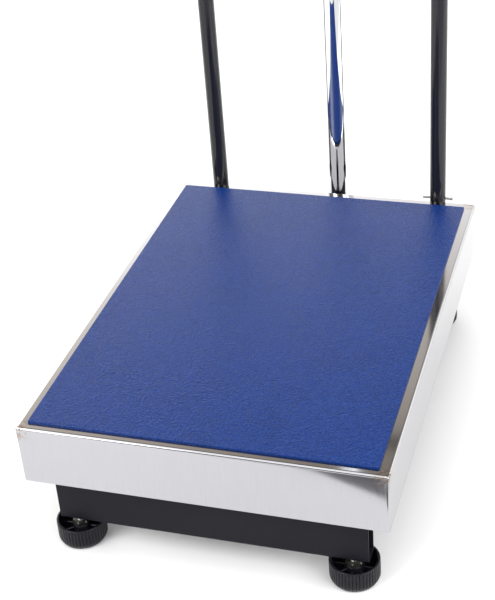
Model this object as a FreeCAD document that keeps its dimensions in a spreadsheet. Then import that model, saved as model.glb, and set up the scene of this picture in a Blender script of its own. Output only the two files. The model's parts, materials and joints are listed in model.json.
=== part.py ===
import FreeCAD, Part
import Sketcher
import math
import os
import re

# Animal weighing scale: a folded stainless platter with a rubber mat, on a top frame carried by one
# load cell; a base frame on four screw feet; a chromed column with a tilting indicator head; a bent
# tube guard rail. Millimetres, +Z up, z = 0 on the floor, +Y towards the column.

Vector = FreeCAD.Vector
Rotation = FreeCAD.Rotation
Placement = FreeCAD.Placement
doc = FreeCAD.newDocument("animal_weighing_scale")

DRIVING_SIZES = {
    # platter: folded pan, open below, and the mat lying on it
    "platterWidth": 430,
    "platterLength": 600,
    "skirtDepth": 76.5,
    "platterGauge": 1.5,
    "platterBend": 3,
    "matSideMargin": 12,
    "matEndMargin": 13,
    "matThickness": 2.5,
    "matCorner": 2,
    "matEdge": 0.8,
    "matShiftX": -1,
    "matShiftY": -2.2,
    # base frame: two cross beams, two side rails and the channel under the load cell
    "beamEndMargin": 28.5,
    "beamDepth": 25,
    "beamHeight": 60,
    "beamWall": 2,
    "tubeCorner": 3,
    "beamClearance": 34.5,
    "beamEdgeMargin": 31,
    "sideRailInset": 36.5,
    "sideRailHeight": 40,
    "sideRailWidth": 25,
    "channelWidth": 60,
    "channelGauge": 4,
    "lowerChannelHeight": 30,
    # load cell, its spacers and bolts
    "cellLength": 150,
    "cellWidth": 40,
    "cellHeight": 40,
    "cellEyeDiameter": 25,
    "cellEyeSpacing": 30,
    "cellSlotHeight": 10,
    "cellHoleMargin": 10,
    "cellHolePitch": 25,
    "cellThreadDepth": 16,
    "spacerThickness": 5,
    "boltDiameter": 8,
    "boltClearance": 0.5,
    "boltHead": 13,
    "boltHeadHeight": 5.3,
    "nutHeight": 6.5,
    # top frame and the rubber buttons under the platter
    "topTube": 25,
    "topTubeWall": 1.5,
    "topFrameSideMargin": 45,
    "topFrameEndMargin": 20,
    "buttonDiameter": 26,
    "buttonTip": 22,
    "buttonHeight": 7.4,
    "buttonEndInset": 45,
    # overload stops
    "stopInset": 66.5,
    "stopGap": 2,
    # levelling feet
    "footInset": 19.5,
    "cupDiameter": 59,
    "cupHeight": 28,
    "cupWall": 3.2,
    "cupFloor": 7,
    "cupChamfer": 6,
    "cupLift": 1.2,
    "bossDiameter": 22,
    "bossHeight": 20,
    "webThickness": 2.4,
    "webHeight": 17,
    "webCount": 8,
    "knurlCount": 36,
    "knurlWidth": 2.4,
    "knurlDepth": 1.1,
    "padDiameter": 44,
    "padThickness": 3.2,
    "padClearance": 0.3,
    "studDiameter": 12,
    "studClearance": 0.05,
    "studHoleClearance": 0.5,
    "studTop": 72,
    "studFlat": 19,
    "studNutHeight": 6,
    "weldNutFlat": 17,
    "weldNutHeight": 10,
    # column, its socket and its bracket
    "columnSetback": 108.5,
    "columnDiameter": 40,
    "columnWall": 1.5,
    "columnLength": 800,
    "socketDiameter": 50,
    "socketHeight": 90,
    "socketClearance": 0.3,
    "bracketWidth": 96,
    "bracketGauge": 5,
    "bracketMargin": 9,
    "bracketBoltX": 54,
    "bracketBoltZ": 30,
    "railBoltInset": 12,
    # guard rail, its spigot brackets and its locking pin
    "railInset": 26.5,
    "railSetback": 33,
    "railDiameter": 22,
    "railWall": 1.5,
    "railTop": 640,
    "railBend": 70,
    "railBracketWidth": 40,
    "railBracketGauge": 4,
    "spigotClearance": 0.3,
    "spigotTop": 192,
    "pinDiameter": 3.2,
    "pinLength": 42,
    "pinHeadDiameter": 4.4,
    "pinHeadLength": 2.5,
    "pinHeight": 175.4,
    # indicator yoke
    "yokeGauge": 3,
    "yokeDepth": 40,
    "yokeRise": 74,
    "yokeBend": 8,
    "collarHeight": 45,
    "collarOverhang": 6,
    # indicator head
    "headWidth": 230,
    "headHeight": 150,
    "headDepth": 76,
    "headFrontDepth": 22,
    "headWall": 2.5,
    "headCorner": 14,
    "headEdge": 4,
    "headTaper": 8,
    "headGap": 2,
    "headTilt": 20,
    "pivotHeight": 55,
    "windowWidth": 158,
    "windowHeight": 54,
    "windowThickness": 1.5,
    "windowBezel": 5,
    "windowRise": 62,
    "windowClearance": 0.2,
    "displayDepth": 9,
    "keyCount": 5,
    "keyPitch": 37,
    "keyWidth": 26,
    "keyHeight": 16,
    "keyCorner": 3,
    "keyRise": -22,
    "keyProud": 1.8,
    "keyEdge": 0.6,
    "keyLip": 1.5,
    "keyLipThickness": 1.2,
    "keyTravel": 1.2,
    "keyClearance": 0.25,
    "boardThickness": 1.6,
    "boardMargin": 8,
    "batteryWidth": 100,
    "batteryHeight": 46,
    "batteryDepth": 34,
    "knobDiameter": 36,
    "knobDepth": 14,
    "knobLobes": 7,
    "knobLobeDiameter": 9,
    "knobStud": 6,
    "knobStudLength": 12,
    "knobGap": 0.3,
    "insertDiameter": 14,
    "insertLength": 14,
    "pivotBoss": 24,
    "powerButtonDiameter": 12,
    "powerButtonX": -75,
    "powerButtonZ": 55,
    "powerButtonProud": 3,
    "powerButtonLip": 2,
    "powerButtonLipThickness": 1.5,
}

sheet = doc.addObject("Spreadsheet::Sheet", "sizes")
for row, (alias, size) in enumerate(DRIVING_SIZES.items(), 1):
    sheet.set("A%d" % row, alias)
    sheet.set("B%d" % row, str(size))
    sheet.setAlias("B%d" % row, alias)
doc.recompute()

# Sizes that follow from the driving ones, written once and used below as expressions.
DERIVED = {
    "matWidth": "(platterWidth - 2 * matSideMargin)",
    "matLength": "(platterLength - 2 * matEndMargin)",
    "beamLength": "(platterWidth - 2 * beamEndMargin)",
    "beamSpacing": "(platterLength - 2 * beamEdgeMargin)",
    "sideRailSpacing": "(beamLength - 2 * sideRailInset)",
    "topRailSpacing": "(platterWidth - 2 * topFrameSideMargin)",
    "topRailLength": "(platterLength - 2 * topFrameEndMargin)",
    "buttonSpacingX": "topRailSpacing",
    "buttonSpacingY": "(topRailLength - 2 * buttonEndInset)",
    "stopSpacing": "(beamLength - 2 * stopInset)",
    "footSpacingX": "(beamLength - 2 * footInset)",
    "railSpacing": "(beamLength - 2 * railInset)",
    "beamTop": "(beamClearance + beamHeight)",
    "beamY": "(beamSpacing / 2)",
    "beamRear": "(beamSpacing / 2 + beamDepth / 2)",
    "cellBottom": "(beamClearance + beamHeight + spacerThickness)",
    "cellTop": "(beamClearance + beamHeight + spacerThickness + cellHeight)",
    "cellSeatY": "(cellLength / 2 - cellHoleMargin - cellHolePitch / 2)",
    "topFrameBottom": "(beamClearance + beamHeight + 2 * spacerThickness + cellHeight)",
    "topFrameTop": "(beamClearance + beamHeight + 2 * spacerThickness + cellHeight + topTube)",
    "platterUnder": "(beamClearance + beamHeight + 2 * spacerThickness + cellHeight + topTube"
                    " + buttonHeight)",
    "topCrossY": "(topRailLength / 2 - topTube / 2)",
    "columnY": "(beamSpacing / 2 + beamDepth / 2 + columnSetback)",
    "bracketTop": "(beamClearance + bracketGauge)",
    "railY": "(beamSpacing / 2 + beamDepth / 2 + railSetback)",
    "columnTop": "(beamClearance + bracketGauge + columnLength)",
    "pivotZ": "(beamClearance + bracketGauge + columnLength + yokeRise)",
    "boltHole": "(boltDiameter + boltClearance)",
    "earInner": "(headWidth / 2 + headGap)",
    "headReach": "(headDepth / 2 * cos(headTilt)"
                 " + (headHeight - pivotHeight - headTaper - headEdge / 2) * sin(headTilt))",
    "originShift": "((columnY + headReach - platterLength / 2) / 2)",
}


def bound(text):
    """The expression with each derived size opened up and each sheet alias qualified."""
    def swap(match):
        word = match.group()
        if word in DERIVED:
            return bound(DERIVED[word])
        return "sizes." + word if word in DRIVING_SIZES else word
    return re.sub(r"[A-Za-z]\w*", swap, text)


def num(text):
    """The expression's value in millimetres or degrees."""
    return float(sheet.evalExpression(bound(text)))


parts = []


def keep(item, label):
    """Registers an object as a sub-part of the scale under its own label."""
    item.Label = label
    parts.append(item)
    return item


def bind(item, **expressions):
    """Binds properties of an object to expressions of the sheet."""
    for name, text in expressions.items():
        item.setExpression(name, bound(text))


def place(item, x="0", y="0", z="0", rotation=None):
    """Puts an object at expressions of the sheet, turned by a fixed rotation."""
    if rotation is not None:
        item.Placement = Placement(Vector(0, 0, 0), rotation)
    for axis, text in (("x", x), ("y", y), ("z", z)):
        item.setExpression("Placement.Base." + axis, bound(text))
    return item


def settle(item):
    """Shifts a finished sub-part so that the origin lies under the middle of the whole scale."""
    rules = {path.lstrip("."): rule for path, rule in item.ExpressionEngine}
    rest = rules.get("Placement.Base.y", repr(item.Placement.Base.y))
    item.setExpression("Placement.Base.y", "%s - %s" % (rest, bound("originShift")))


# ---- PartDesign helpers -------------------------------------------------------------------------

def newBody(label):
    return keep(doc.addObject("PartDesign::Body", label), label)


def originPlane(body, role):
    return [item for item in body.Origin.OriginFeatures if item.Role == role][0]


def newSketch(body, role="XY_Plane", offset="0"):
    """A sketch on one of the body's own origin planes, moved along its normal by an expression."""
    sketch = body.newObject("Sketcher::SketchObject", "sketch")
    sketch.AttachmentSupport = (originPlane(body, role), [""])
    sketch.MapMode = "FlatFace"
    sketch.setExpression("AttachmentOffset.Base.z", bound(offset))
    return sketch


def bindPoint(sketch, geometry, vertex, x, y):
    """Holds a vertex of the sketch at two expressions."""
    for kind, text in (("DistanceX", x), ("DistanceY", y)):
        index = sketch.addConstraint(
            Sketcher.Constraint(kind, -1, 1, geometry, vertex, num(text)))
        sketch.setExpression("Constraints[%d]" % index, bound(text))


def polygon(sketch, points):
    """A closed outline of straight lines through points given as pairs of expressions."""
    first = sketch.GeometryCount
    corners = [Vector(num(x), num(y), 0) for x, y in points]
    count = len(points)
    for i in range(count):
        sketch.addGeometry(Part.LineSegment(corners[i], corners[(i + 1) % count]), False)
    for i, (x, y) in enumerate(points):
        following = first + (i + 1) % count
        sketch.addConstraint(Sketcher.Constraint("Coincident", first + i, 2, following, 1))
        bindPoint(sketch, first + i, 1, x, y)
    return sketch


def rectangle(sketch, left, bottom, right, top):
    return polygon(sketch, [(left, bottom), (right, bottom), (right, top), (left, top)])


def roundedRectangle(sketch, left, bottom, right, top, radius):
    """A rectangle whose corners are arcs tangent to its sides."""
    x0, y0, x1, y1, r = (num(text) for text in (left, bottom, right, top, radius))
    up = Vector(0, 0, 1)
    sides = (((x0 + r, y0), (x1 - r, y0)), ((x1, y0 + r), (x1, y1 - r)),
             ((x1 - r, y1), (x0 + r, y1)), ((x0, y1 - r), (x0, y0 + r)))
    centres = ((x1 - r, y0 + r), (x1 - r, y1 - r), (x0 + r, y1 - r), (x0 + r, y0 + r))
    first = sketch.GeometryCount
    for (startX, startY), (endX, endY) in sides:
        sketch.addGeometry(Part.LineSegment(Vector(startX, startY, 0), Vector(endX, endY, 0)), False)
    for i, (x, y) in enumerate(centres):
        begin = (i - 1) * math.pi / 2
        turn = Part.Circle(Vector(x, y, 0), up, r)
        sketch.addGeometry(Part.ArcOfCircle(turn, begin, begin + math.pi / 2), False)
    for i in range(4):
        corner = first + 4 + i
        sketch.addConstraint(Sketcher.Constraint("Tangent", first + i, 2, corner, 1))
        sketch.addConstraint(Sketcher.Constraint("Tangent", corner, 2, first + (i + 1) % 4, 1))
        kind = "Horizontal" if i % 2 == 0 else "Vertical"
        sketch.addConstraint(Sketcher.Constraint(kind, first + i))
        if i:
            sketch.addConstraint(Sketcher.Constraint("Equal", first + 4, corner))
    limits = (("DistanceY", 0, bottom), ("DistanceX", 1, right), ("DistanceY", 2, top),
              ("DistanceX", 3, left))
    for kind, side, text in limits:
        index = sketch.addConstraint(
            Sketcher.Constraint(kind, -1, 1, first + side, 1, num(text)))
        sketch.setExpression("Constraints[%d]" % index, bound(text))
    index = sketch.addConstraint(Sketcher.Constraint("Radius", first + 4, r))
    sketch.setExpression("Constraints[%d]" % index, bound(radius))
    return sketch


def circle(sketch, diameter, x="0", y="0"):
    index = sketch.GeometryCount
    centre = Vector(num(x), num(y), 0)
    shape = Part.Circle(centre, Vector(0, 0, 1), num(diameter) / 2)
    sketch.addGeometry(shape, False)
    if x == "0" and y == "0":
        sketch.addConstraint(Sketcher.Constraint("Coincident", index, 3, -1, 1))
    else:
        bindPoint(sketch, index, 3, x, y)
    size = sketch.addConstraint(Sketcher.Constraint("Diameter", index, num(diameter)))
    sketch.setExpression("Constraints[%d]" % size, bound(diameter))
    return sketch


def pad(body, sketch, length, midplane=False, reverse=False):
    feature = body.newObject("PartDesign::Pad", "pad")
    feature.Profile = sketch
    feature.Midplane = midplane
    feature.Reversed = reverse
    bind(feature, Length=length)
    return feature


def pocket(body, sketch, reach=None):
    """Cuts the sketch both ways: through everything, or only as far as reach on each side."""
    feature = body.newObject("PartDesign::Pocket", "pocket")
    feature.Profile = sketch
    feature.Midplane = True
    if reach is None:
        feature.Type = 1
    else:
        bind(feature, Length="2 * (" + reach + ")")
    return feature


def revolve(body, sketch):
    feature = body.newObject("PartDesign::Revolution", "revolution")
    feature.Profile = sketch
    feature.ReferenceAxis = (sketch, ["V_Axis"])
    feature.Angle = 360
    return feature


def polarPattern(body, feature, count):
    pattern = body.newObject("PartDesign::PolarPattern", "around")
    pattern.Originals = [feature]
    pattern.Axis = (feature.Profile[0], ["N_Axis"])
    pattern.Angle = 360
    bind(pattern, Occurrences=count)
    body.Tip = pattern
    return pattern


def dress(body, kind, size, test):
    """A fillet or chamfer on every edge of the body that passes the test."""
    doc.recompute()
    base = body.Tip
    names = ["Edge%d" % (i + 1) for i, edge in enumerate(base.Shape.Edges) if test(edge)]
    feature = body.newObject("PartDesign::" + kind, kind.lower())
    feature.Base = (base, names)
    bind(feature, **{"Radius" if kind == "Fillet" else "Size": size})
    body.Tip = feature
    return feature


def along(edge, axis):
    """True for a straight edge parallel to the axis, 0, 1 or 2."""
    if edge.Curve.TypeId != "Part::GeomLine":
        return False
    return abs(abs(edge.Curve.Direction[axis]) - 1) < 1e-6


def near(value, text):
    return abs(value - num(text)) < 1e-4


def flatAt(edge, text):
    """True for an edge that lies level at the height given by an expression."""
    box = edge.BoundBox
    return near(box.ZMin, text) and near(box.ZMax, text)


# ---- Part primitive helpers ---------------------------------------------------------------------

def cylinder(diameter, height, x="0", y="0", z="0", rotation=None):
    item = doc.addObject("Part::Cylinder", "cylinder")
    bind(item, Radius="(" + diameter + ") / 2", Height=height)
    return place(item, x, y, z, rotation)


def hexagon(flats, height, x="0", y="0", z="0", rotation=None):
    item = doc.addObject("Part::Prism", "hexagon")
    item.Polygon = 6
    bind(item, Circumradius="(" + flats + ") / 2 / cos(30)", Height=height)
    return place(item, x, y, z, rotation)


def fuse(*items):
    item = doc.addObject("Part::MultiFuse", "fuse")
    item.Shapes = list(items)
    item.Refine = True
    return item


def cut(base, tool):
    item = doc.addObject("Part::Cut", "cut")
    item.Base = base
    item.Tool = tool
    return item


def group(label, items):
    """Identical loose pieces that share one node."""
    item = doc.addObject("Part::Compound", label)
    item.Links = items
    return keep(item, label)


def hexBolt(shank, x, y, z, rotation=None):
    """A hex bolt: its head's seat is at the origin, the shank runs up and the head down."""
    rod = cylinder("boltDiameter", shank)
    head = hexagon("boltHead", "boltHeadHeight", z="-boltHeadHeight")
    return place(fuse(rod, head), x, y, z, rotation)


def hexNut(x, y, z, rotation=None):
    blank = hexagon("boltHead", "nutHeight")
    bore = cylinder("boltDiameter + 2 * studClearance", "nutHeight")
    return place(cut(blank, bore), x, y, z, rotation)


SIDES = (("left", "-1"), ("right", "1"))
ENDS = (("front", "-1"), ("rear", "1"))
FLIP = Rotation(Vector(1, 0, 0), 180)
FACE_FORWARD = Rotation(Vector(1, 0, 0), 90)


# ---- platter ------------------------------------------------------------------------------------

def makePlatterCover():
    """A folded pan: padded block, rounded top bends, then hollowed from below."""
    body = newBody("platter_cover")
    outline = newSketch(body)
    rectangle(outline, "-platterWidth / 2", "-platterLength / 2", "platterWidth / 2",
              "platterLength / 2")
    pad(body, outline, "skirtDepth")
    dress(body, "Fillet", "platterBend", lambda edge: flatAt(edge, "skirtDepth"))
    inside = newSketch(body)
    rectangle(inside, "-platterWidth / 2 + platterGauge", "-platterLength / 2 + platterGauge",
              "platterWidth / 2 - platterGauge", "platterLength / 2 - platterGauge")
    pocket(body, inside, "skirtDepth - platterGauge")
    roof = "skirtDepth - platterGauge"
    dress(body, "Fillet", "platterBend - platterGauge", lambda edge: flatAt(edge, roof))
    place(body, z="platterUnder + platterGauge - skirtDepth")


def makeMat():
    body = newBody("anti_slip_mat")
    outline = newSketch(body)
    rectangle(outline, "-matWidth / 2", "-matLength / 2", "matWidth / 2", "matLength / 2")
    pad(body, outline, "matThickness")
    dress(body, "Fillet", "matCorner", lambda edge: along(edge, 2))
    dress(body, "Chamfer", "matEdge", lambda edge: flatAt(edge, "matThickness"))
    place(body, "matShiftX", "matShiftY", "platterUnder + platterGauge")


# ---- frames -------------------------------------------------------------------------------------

def boxTube(label, axis, length, width, height, wall):
    """A straight box tube along X or Y, centred, resting on its own z = 0."""
    body = newBody(label)
    section = newSketch(body, "YZ_Plane" if axis == 0 else "XZ_Plane")
    rectangle(section, "-%s / 2" % width, "0", "%s / 2" % width, height)
    rectangle(section, "-%s / 2 + %s" % (width, wall), wall, "%s / 2 - %s" % (width, wall),
              "%s - %s" % (height, wall))
    pad(body, section, length, midplane=True)

    def outerEdge(edge):
        box = edge.BoundBox
        side = abs((box.YMin, box.XMin)[axis])
        return along(edge, axis) and near(side, "%s / 2" % width)

    def innerEdge(edge):
        box = edge.BoundBox
        side = abs((box.YMin, box.XMin)[axis])
        return along(edge, axis) and near(side, "%s / 2 - %s" % (width, wall))

    dress(body, "Fillet", "tubeCorner", outerEdge)
    dress(body, "Fillet", "tubeCorner - %s / 2" % wall, innerEdge)
    return body


def drill(body, role, offset, points, diameter, reach):
    """Round holes at points of one plane, reaching as far as reach on each side of it."""
    sketch = newSketch(body, role, offset)
    for x, y in points:
        circle(sketch, diameter, x, y)
    return pocket(body, sketch, reach)


def makeBeam(end, sign):
    body = boxTube(end + "_beam", 0, "beamLength", "beamDepth", "beamHeight", "beamWall")
    feet = [("%s * footSpacingX / 2" % s, "0") for _, s in SIDES]
    drill(body, "XY_Plane", "0", feet, "studDiameter + 2 * studHoleClearance", "beamWall + 1")
    stops = [("%s * stopSpacing / 2" % s, "0") for _, s in SIDES]
    drill(body, "XY_Plane", "beamHeight", stops, "boltHole", "beamWall + 1")
    if end == "rear":
        holes = columnBoltPoints() + railBoltPoints()
        drill(body, "XZ_Plane", "-beamDepth / 2", holes, "boltHole", "beamWall + 1")
    place(body, y="%s * beamY" % sign, z="beamClearance")


def columnBoltPoints():
    """The column bracket's bolts, across and up from the underside of the rear beam."""
    return [("%s * bracketBoltX / 2" % s, "beamHeight / 2 + %s * bracketBoltZ / 2" % e)
            for _, s in SIDES for _, e in ENDS]


def railBoltPoints():
    """The rail brackets' bolts, two on each side, in the same terms."""
    return [("%s * (railSpacing / 2 - railBoltInset)" % s, "beamHeight / 2 + %s * bracketBoltZ / 2" % e)
            for _, s in SIDES for _, e in ENDS]


def makeSideRails():
    length = "beamSpacing - beamDepth"
    for side, sign in SIDES:
        body = boxTube(side + "_side_rail", 1, length, "sideRailWidth", "sideRailHeight",
                       "beamWall")
        place(body, "%s * sideRailSpacing / 2" % sign, z="beamTop - sideRailHeight")


def cellBoltPoints(sign):
    """The two bolts at one end of the load cell."""
    return [("0", "%s * (cellSeatY + %s * cellHolePitch / 2)" % (sign, e)) for _, e in ENDS]


def makeChannel(label, length, height, sign, webAtTop):
    """A folded channel across the frame, its web against the load cell's spacer."""
    body = newBody(label)
    section = newSketch(body, "YZ_Plane")
    half = "channelWidth / 2"
    inner = "channelWidth / 2 - channelGauge"
    web = "channelGauge"
    points = [("-" + half, "0"), (half, "0"), (half, height), (inner, height), (inner, web),
              ("-(" + inner + ")", web), ("-(" + inner + ")", height), ("-" + half, height)]
    if webAtTop:
        points = [(y, "%s - (%s)" % (height, z)) for y, z in points]
    polygon(section, points)
    pad(body, section, length, midplane=True)
    folds = ("0", web) if not webAtTop else (height, "%s - %s" % (height, web))
    dress(body, "Fillet", "channelGauge + 1",
          lambda edge: along(edge, 0) and flatAt(edge, folds[0]))
    holes = [("0", "%s * cellHolePitch / 2" % e) for _, e in ENDS]
    webPlane = folds[0]
    drill(body, "XY_Plane", webPlane, holes, "boltHole", "channelGauge + 1")
    return body


def makeFrameChannels():
    lower = makeChannel("cell_channel", "sideRailSpacing - sideRailWidth", "lowerChannelHeight",
                        "-1", True)
    place(lower, y="-cellSeatY", z="beamTop - lowerChannelHeight")
    upper = makeChannel("top_cell_channel", "topRailSpacing - topTube", "topTube", "1", False)
    place(upper, y="cellSeatY", z="topFrameBottom")


def makeTopFrame():
    for side, sign in SIDES:
        body = boxTube("top_%s_rail" % side, 1, "topRailLength", "topTube", "topTube",
                       "topTubeWall")
        place(body, "%s * topRailSpacing / 2" % sign, z="topFrameBottom")
    for end, sign in ENDS:
        body = boxTube("top_%s_rail" % end, 0, "topRailSpacing - topTube", "topTube", "topTube",
                       "topTubeWall")
        place(body, y="%s * topCrossY" % sign, z="topFrameBottom")


def makeButtons():
    """Tapered rubber buttons on the top frame's corners, under the platter."""
    buttons = []
    for _, s in SIDES:
        for _, e in ENDS:
            item = doc.addObject("Part::Cone", "button")
            bind(item, Radius1="buttonDiameter / 2", Radius2="buttonTip / 2",
                 Height="buttonHeight")
            place(item, "%s * buttonSpacingX / 2" % s, "%s * buttonSpacingY / 2" % e,
                  "topFrameTop")
            buttons.append(item)
    group("platter_buttons", buttons)


# ---- load cell ----------------------------------------------------------------------------------

def makeLoadCell():
    """An aluminium beam with two eyes joined by a slot, threaded at both ends."""
    body = newBody("load_cell")
    block = newSketch(body, "YZ_Plane")
    rectangle(block, "-cellLength / 2", "0", "cellLength / 2", "cellHeight")
    pad(body, block, "cellWidth", midplane=True)
    dress(body, "Chamfer", "1", lambda edge: along(edge, 2))
    eyes = newSketch(body, "YZ_Plane")
    for _, e in ENDS:
        circle(eyes, "cellEyeDiameter", "%s * cellEyeSpacing / 2" % e, "cellHeight / 2")
    pocket(body, eyes)
    slot = newSketch(body, "YZ_Plane")
    rectangle(slot, "-cellEyeSpacing / 2", "cellHeight / 2 - cellSlotHeight / 2",
              "cellEyeSpacing / 2", "cellHeight / 2 + cellSlotHeight / 2")
    pocket(body, slot)
    threads = "boltDiameter + 2 * studClearance"
    drill(body, "XY_Plane", "0", cellBoltPoints("-1"), threads, "cellThreadDepth")
    drill(body, "XY_Plane", "cellHeight", cellBoltPoints("1"), threads, "cellThreadDepth")
    place(body, z="cellBottom")


def makeSpacers():
    spacers = []
    for sign, z in (("-1", "beamTop"), ("1", "cellTop")):
        block = doc.addObject("Part::Box", "block")
        bind(block, Length="cellWidth", Width="2 * cellHoleMargin + cellHolePitch",
             Height="spacerThickness")
        place(block, "-cellWidth / 2", "%s * cellSeatY - cellHoleMargin - cellHolePitch / 2" % sign,
              z)
        holes = [cylinder("boltHole", "spacerThickness", x, y, z)
                 for x, y in cellBoltPoints(sign)]
        spacers.append(cut(block, fuse(*holes)))
    group("cell_spacers", spacers)


def makeCellBolts():
    shank = "channelGauge + spacerThickness + cellThreadDepth - 2"
    bolts = [hexBolt(shank, x, y, "beamTop - channelGauge") for x, y in cellBoltPoints("-1")]
    bolts += [hexBolt(shank, x, y, "topFrameBottom + channelGauge", FLIP)
              for x, y in cellBoltPoints("1")]
    group("cell_bolts", bolts)


def makeStops():
    """Overload stops: screws standing on the base beams just under the top frame."""
    screws = []
    nuts = []
    for _, s in SIDES:
        for _, e in ENDS:
            x = "%s * stopSpacing / 2" % s
            y = "%s * beamY" % e
            shank = "topFrameBottom - stopGap - boltHeadHeight - beamTop + beamWall + nutHeight + 4"
            head = "topFrameBottom - stopGap - boltHeadHeight"
            screws.append(hexBolt(shank, x, y, head, FLIP))
            nuts.append(hexNut(x, y, "beamTop"))
            nuts.append(hexNut(x, y, "beamTop - beamWall - nutHeight"))
    group("stop_screws", screws)
    group("stop_nuts", nuts)


# ---- levelling feet -----------------------------------------------------------------------------

def makeFootPad(label, x, y):
    """The rubber disc that stays still on the floor while the cup turns on it."""
    body = newBody(label)
    section = newSketch(body, "XZ_Plane")
    polygon(section, [("0", "0"), ("padDiameter / 2 - 1", "0"), ("padDiameter / 2", "1"),
                      ("padDiameter / 2", "padThickness"), ("0", "padThickness")])
    revolve(body, section)
    place(body, x, y)


def makeFootCup(label, x, y):
    """The hand wheel of a foot: open cup, boss, radial webs and a knurled rim."""
    body = newBody(label)
    section = newSketch(body, "XZ_Plane")
    rim = "cupDiameter / 2"
    recess = "padDiameter / 2 + padClearance"
    bore = "studDiameter / 2 + studClearance"
    polygon(section, [
        (bore, "padThickness - cupLift"),
        (recess, "padThickness - cupLift"),
        (recess, "0"),
        (rim + " - cupChamfer / 2", "0"),
        (rim, "cupChamfer"),
        (rim, "cupHeight"),
        (rim + " - cupWall", "cupHeight"),
        (rim + " - cupWall", "cupFloor"),
        ("bossDiameter / 2 + 1", "cupFloor"),
        ("bossDiameter / 2", "bossHeight"),
        (bore, "bossHeight"),
    ])
    revolve(body, section)
    web = newSketch(body, "XY_Plane", "cupFloor - 0.5")
    rectangle(web, "bossDiameter / 2 - 1", "-webThickness / 2", rim + " - cupWall / 2",
              "webThickness / 2")
    rib = pad(body, web, "webHeight - cupFloor + 0.5")
    polarPattern(body, rib, "webCount")
    doc.recompute()
    notch = newSketch(body, "XY_Plane", "cupHeight")
    polygon(notch, [(rim + " - knurlDepth", "0"), (rim + " + knurlDepth", "-knurlWidth"),
                    (rim + " + knurlDepth", "knurlWidth")])
    groove = pocket(body, notch, "cupHeight - cupChamfer")
    polarPattern(body, groove, "knurlCount")
    place(body, x, y, "cupLift")


def makeFootStud(label, x, y):
    """Threaded stud with the nut that clamps it to the cup's boss."""
    rod = cylinder("studDiameter", "studTop - padThickness", z="padThickness")
    nut = hexagon("studFlat", "studNutHeight", z="cupLift + bossHeight")
    tip = doc.addObject("Part::Chamfer", "tip")
    tip.Base = rod
    doc.recompute()
    top = [i + 1 for i, edge in enumerate(rod.Shape.Edges)
           if edge.BoundBox.ZMin > num("studTop") - 0.01]
    tip.Edges = [(i, 1.0, 1.0) for i in top]
    keep(place(fuse(tip, nut), x, y), label)


def makeFeet():
    for end, e in ENDS:
        for side, s in SIDES:
            x = "%s * footSpacingX / 2" % s
            y = "%s * beamY" % e
            makeFootPad("%s_%s_foot_pad" % (end, side), x, y)
            makeFootCup("%s_%s_foot_cup" % (end, side), x, y)
            makeFootStud("%s_%s_foot_stud" % (end, side), x, y)


def makeWeldNuts():
    nuts = []
    for _, s in SIDES:
        for _, e in ENDS:
            blank = hexagon("weldNutFlat", "weldNutHeight")
            bore = cylinder("studDiameter + 2 * studClearance", "weldNutHeight")
            nuts.append(place(cut(blank, bore), "%s * footSpacingX / 2" % s, "%s * beamY" % e,
                              "beamClearance + beamWall"))
    group("foot_weld_nuts", nuts)


# ---- column -------------------------------------------------------------------------------------

def makeColumnBracket():
    """A welded bracket behind the rear beam: back plate, shelf and two tapered cheeks."""
    body = newBody("column_bracket")
    reach = "columnSetback + socketDiameter / 2 + bracketMargin"
    shelf = newSketch(body)
    rectangle(shelf, "-bracketWidth / 2", "0", "bracketWidth / 2", reach)
    pad(body, shelf, "bracketGauge")
    back = newSketch(body)
    rectangle(back, "-bracketWidth / 2", "0", "bracketWidth / 2", "bracketGauge")
    pad(body, back, "beamHeight")
    cheekLine = [("0", "0"), (reach, "0"), (reach, "2 * bracketGauge"),
                 ("bracketGauge * 4", "beamHeight"), ("0", "beamHeight")]
    for plane in ("bracketWidth / 2 - bracketGauge", "-bracketWidth / 2"):
        cheek = newSketch(body, "YZ_Plane", plane)
        polygon(cheek, cheekLine)
        pad(body, cheek, "bracketGauge")
    holes = columnBoltPoints()
    drill(body, "XZ_Plane", "0", holes, "boltHole", "bracketGauge + 1")
    place(body, y="beamRear", z="beamClearance")


def makeSocket():
    body = newBody("column_socket")
    ring = newSketch(body)
    circle(ring, "socketDiameter")
    circle(ring, "columnDiameter + 2 * socketClearance")
    pad(body, ring, "socketHeight")
    dress(body, "Chamfer", "1", lambda edge: flatAt(edge, "socketHeight")
          and near(edge.Curve.Radius, "socketDiameter / 2"))
    wallMiddle = "-(socketDiameter / 4 + columnDiameter / 4)"
    levels = [("0", "socketHeight / 4"), ("0", "socketHeight * 3 / 4")]
    drill(body, "XZ_Plane", wallMiddle, levels, "boltDiameter + 2 * studClearance", "boltDiameter")
    place(body, y="columnY", z="bracketTop")


def makeColumn():
    body = newBody("column")
    ring = newSketch(body)
    circle(ring, "columnDiameter")
    circle(ring, "columnDiameter - 2 * columnWall")
    pad(body, ring, "columnLength")
    place(body, y="columnY", z="bracketTop")


def makeClampScrews():
    """Screws through the rear of the socket and of the yoke's collar, tight on the column."""
    tip = "columnY + columnDiameter / 2"
    shank = "socketDiameter / 2 - columnDiameter / 2 + 5"
    levels = ("bracketTop + socketHeight / 4", "bracketTop + socketHeight * 3 / 4",
              "columnTop - collarHeight / 2 + collarOverhang / 2")
    screws = [hexBolt(shank, "0", tip + " + " + shank, z, FACE_FORWARD) for z in levels]
    group("column_clamp_screws", screws)


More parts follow.
